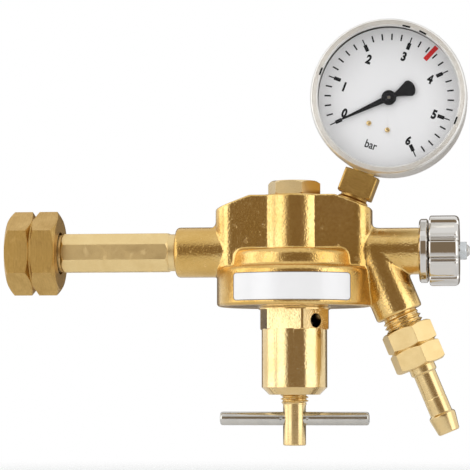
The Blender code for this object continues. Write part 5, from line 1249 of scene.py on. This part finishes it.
def valve_spindle():
    """The spindle with its flange, which carries the knob."""
    low, high = node_box("valve_spindle")
    body, tail, step = 3.0, 2.4, node_box("knob")[1].x - 2.5
    profile = [(0, low.x), (4.0, low.x), (4.4, low.x + 0.4), (4.4, low.x + 4.7), (4.1, low.x + 5)]
    profile += [(body, low.x + 5), (body, step), (tail, step), (tail, high.x - 0.9), (tail - 0.9, high.x)]
    profile += [(0, high.x)]
    spindle = stand("valve_spindle_dressed", turned(softened(profile, 0.2), 64), ALONG_X)
    shaped(spindle, CUT, rod(1.68, low.x - 1, low.x + 2.4, 32))
    dressed(spindle, "plain_steel", "spindle_and_knob")


def knob_nut():
    """The small nut that holds the knob."""
    low, high = node_box("knob_nut")
    flats, hole = 7.0, 2.52
    corner = across_corners(flats)
    nut = [(corner, low.x), (corner, high.x - 0.6), (flats / 2, high.x), (hole, high.x), (hole, low.x)]
    piece = hexagon_bar("knob_nut_dressed", flats, 0.0, nut, ALONG_X)
    dressed(eased(piece, 0.12), "zinc_steel", "spindle_and_knob")


class REGULATOR_OT_valve(bpy.types.Operator):
    """Shut-off valve: collar, lobed knob, spindle and nut"""

    bl_idname = "regulator.valve"
    bl_label = "Shut-off Valve"

    def execute(self, context):
        valve_collar()
        valve_knob()
        valve_spindle()
        knob_nut()
        return {"FINISHED"}


# Outlet


class REGULATOR_OT_outlet(bpy.types.Operator):
    """Hose tail with its barb, and the grooved left-hand nut"""

    bl_idname = "regulator.outlet"
    bl_label = "Outlet"

    def execute(self, context):
        start, end, flats, seat = 33.6, 50.6, 19.0, 44.2
        inside = [(5.6, end), (5.6, seat), (8.02, seat), (8.02, start)]
        outside = grooved_nut(flats, start, end, 0.9, 9.2, 0.9, 0.15)
        nut = hexagon_bar("hose_nut_dressed", flats, 104, outside + inside, BRANCH)
        dressed(eased(nut, 0.16), "drawn_brass")
        bore, collar_end, tip = 2.75, 53.6, 79.4
        tail = [(bore, 38.9), (4.2, 38.9), (6.6, 41.3), (7.2, 41.3), (7.2, 43.9), (5.4, 43.9)]
        tail += [(5.4, collar_end - 0.4), (5.0, collar_end), (4.6, collar_end + 0.3), (4.6, 64.0)]
        tail += [(4.45, 64.4), (4.6, 64.8), (4.6, tip - 8.4), (5.5, tip - 7.6), (5.5, tip - 6.6)]
        tail += [(4.5, tip - 0.5), (4.0, tip), (bore + 0.5, tip), (bore, tip - 0.5)]
        dressed(stand("hose_tail_dressed", turned(softened(tail, 0.3)), BRANCH), "turned_brass")
        return {"FINISHED"}


# Hidden pieces


class REGULATOR_OT_inside(bpy.types.Operator):
    """Finishes for the working parts that stay as the frame has them"""

    bl_idname = "regulator.inside"
    bl_label = "Working Parts"

    def execute(self, context):
        painted("black_rubber", "diaphragm", "poppet_pad", "valve_plug", "spindle_o_ring")
        painted("plain_steel", "diaphragm_plate", "spring_seat", "pointer_arbor", "poppet_spring")
        painted("turned_brass", "valve_seat", "poppet", "diaphragm_button", "gauge_movement", "bourdon_tube")
        painted("seal_fibre", "cap_seal")
        return {"FINISHED"}


# Stage

MIDDLE = Vector((0.0816, 0, 0.0071))
# Name, place, width, height and power; metal doesn't reflect the lamps
LAMPS = (
    ("left_lamp", (-0.75, -0.75, 0.35), 0.5, 1.1, 2.4),
    ("right_lamp", (0.95, -0.70, 0.35), 0.5, 1.1, 2.0),
    ("top_lamp", (0.08, -0.35, 1.0), 1.1, 0.5, 3.5),
)
BRIGHT, MILD, DIM, DARK = (2.0, 1.98, 1.95), (0.85, 0.84, 0.82), (0.2, 0.17, 0.14), (0.27, 0.20, 0.13)
# Name, azimuth and elevation in degrees, distance, width, height and brightness
CARDS = (
    ("front_card", 12, 0, 1.3, 1.66, 1.76, DARK),
    ("left_card", -42, 0, 1.2, 0.62, 2.2, BRIGHT),
    ("far_left_card", -84, 0, 1.2, 0.7, 2.2, BRIGHT),
    ("right_card", 66, 0, 1.2, 0.8, 2.2, BRIGHT),
    ("upper_card", 12, 43, 1.25, 1.6, 0.42, MILD),
    ("lower_card", 12, -43, 1.25, 1.6, 0.36, MILD),
    ("back_card", 180, 0, 1.3, 1.9, 1.8, DIM),
)


def outwards(azimuth, elevation):
    """The way from the regulator to something that stands round it."""
    out = Vector((math.sin(azimuth), -math.cos(azimuth), 0)) * math.cos(elevation)
    out.z = math.sin(elevation)
    return out


def turned_in(obj, place, out):
    """Stands an object at its place, and turns it to face back along the way out."""
    obj.location = place
    obj.rotation_euler = (-out).to_track_quat("-Z", "Y").to_euler()
    return obj


def lamp(name, place, width, height, power):
    """A soft rectangular lamp that looks at the regulator."""
    data = bpy.data.lights.new(name, "AREA")
    data.shape = "RECTANGLE"
    data.size = width
    data.size_y = height
    data.energy = power
    place = Vector(place)
    turned_in(stand(name, data), place, place - MIDDLE).visible_glossy = False


def card(name, azimuth, elevation, distance, width, height, level):
    """A card round the regulator, with that brightness, which only the metal's reflections see."""
    x, y = width / 2, height / 2
    mesh = bpy.data.meshes.new(name)
    mesh.from_pydata([(-x, -y, 0), (x, -y, 0), (x, y, 0), (-x, y, 0)], [], [(0, 1, 2, 3)])
    material, tree, _ = new_material(name)
    tree.nodes.remove(tree.nodes["Principled BSDF"])
    glow = add_node(tree, "ShaderNodeEmission", {"Color": (*level, 1.0), "Strength": 1.0})
    tree.links.new(glow.outputs["Emission"], tree.nodes["Material Output"].inputs["Surface"])
    mesh.materials.append(material)
    out = outwards(math.radians(azimuth), math.radians(elevation))
    obj = turned_in(stand(name, mesh), MIDDLE + out * distance, out)
    obj.visible_camera = obj.visible_diffuse = obj.visible_shadow = obj.visible_transmission = False


def studio():
    """White behind the regulator and in its reflections, and a plain level for the light."""
    world = bpy.data.worlds.new("studio")
    world.use_nodes = True
    tree = world.node_tree
    path = tree.nodes.new("ShaderNodeLightPath").outputs
    seen = sum_of(tree, path["Is Camera Ray"], path["Is Glossy Ray"], "MAXIMUM")
    seen = sum_of(tree, seen, path["Is Transmission Ray"], "MAXIMUM")
    background = tree.nodes["Background"].inputs
    background["Color"].default_value = (1.0, 1.0, 1.0, 1.0)
    tree.links.new(ranged(tree, seen, 0.0, 1.0, 0.72, 1.0), background["Strength"])
    bpy.context.scene.world = world


def pale_floor():
    """A pale round floor that fades out at its edge."""
    radius, height = 620.0, -100.0
    disc = [(r, height) for r in (0, 150, 300, 450, 560, radius)] + [(radius, height - 2), (0, height - 2)]
    floor = stand("floor", turned(disc, 96), at(MAIN_X - 20, 0, 0))
    material, tree, shader = new_material("pale_floor")
    shader["Base Color"].default_value = (0.9, 0.9, 0.9, 1.0)
    shader["Roughness"].default_value = 0.8
    shader["Specular IOR Level"].default_value = 0.1
    where = tree.nodes.new("ShaderNodeTexCoord").outputs["Object"]
    reach = add_node(tree, "ShaderNodeVectorMath", {0: where}, operation="LENGTH").outputs["Value"]
    tree.links.new(ranged(tree, reach, 0.12, 0.5, 1.0, 0.0), shader["Alpha"])
    floor.data.materials.append(material)


class REGULATOR_OT_stage(bpy.types.Operator):
    """Pale floor, soft lamps, bright and dark cards for the metal, and the camera"""

    bl_idname = "regulator.stage"
    bl_label = "Stage"

    def execute(self, context):
        stage = context.scene.regulator_stage
        context.scene.view_settings.view_transform = "Standard"
        studio()
        pale_floor()
        for *light, power in LAMPS:
            lamp(*light, power * stage.lamp_level)
        for settings in CARDS:
            card(*settings)
        data = bpy.data.cameras.new("view")
        data.lens = data.sensor_width * stage.distance / stage.view_width
        data.clip_start = 0.01
        out = outwards(stage.azimuth, stage.elevation)
        context.scene.camera = turned_in(stand("view", data), MIDDLE + out * stage.distance, out)
        return {"FINISHED"}


class REGULATOR_PT_panel(bpy.types.Panel):
    """The regulator's pieces and their settings"""

    bl_idname = "REGULATOR_PT_panel"
    bl_label = "Propane Regulator"
    bl_space_type = "VIEW_3D"
    bl_region_type = "UI"
    bl_category = "Regulator"

    def draw(self, context):
        for group, _ in SETTINGS:
            settings = getattr(context.scene, group)
            column = self.layout.column(align=True)
            for name in settings.bl_rna.properties.keys():
                if name not in {"rna_type", "name"}:
                    column.prop(settings, name)
        for operator in OPERATORS:
            self.layout.operator(operator.bl_idname)


OPERATORS = (
    REGULATOR_OT_body,
    REGULATOR_OT_cap,
    REGULATOR_OT_inlet,
    REGULATOR_OT_bonnet,
    REGULATOR_OT_screw,
    REGULATOR_OT_springs,
    REGULATOR_OT_label,
    REGULATOR_OT_gauge,
    REGULATOR_OT_valve,
    REGULATOR_OT_outlet,
    REGULATOR_OT_inside,
    REGULATOR_OT_stage,
)
SETTINGS = (
    ("regulator_finish", RegulatorFinish),
    ("regulator_shape", RegulatorShape),
    ("regulator_stage", RegulatorStage),
)


def register():
    """Makes the settings, the operators and the panel known to Blender."""
    for name, group in SETTINGS:
        bpy.utils.register_class(group)
        setattr(bpy.types.Scene, name, bpy.props.PointerProperty(type=group))
    for cls in (*OPERATORS, REGULATOR_PT_panel):
        bpy.utils.register_class(cls)


def unregister():
    """Takes them away again."""
    for cls in (REGULATOR_PT_panel, *reversed(OPERATORS)):
        bpy.utils.unregister_class(cls)
    for name, group in reversed(SETTINGS):
        delattr(bpy.types.Scene, name)
        bpy.utils.unregister_class(group)


def main():
    """Builds every piece and the stage."""
    register()
    bpy.ops.regulator.body()
    bpy.ops.regulator.cap()
    bpy.ops.regulator.inlet()
    bpy.ops.regulator.bonnet()
    bpy.ops.regulator.screw()
    bpy.ops.regulator.springs()
    bpy.ops.regulator.label()
    bpy.ops.regulator.gauge()
    bpy.ops.regulator.valve()
    bpy.ops.regulator.outlet()
    bpy.ops.regulator.inside()
    bpy.ops.regulator.stage()


if __name__ == "__main__":
    main()
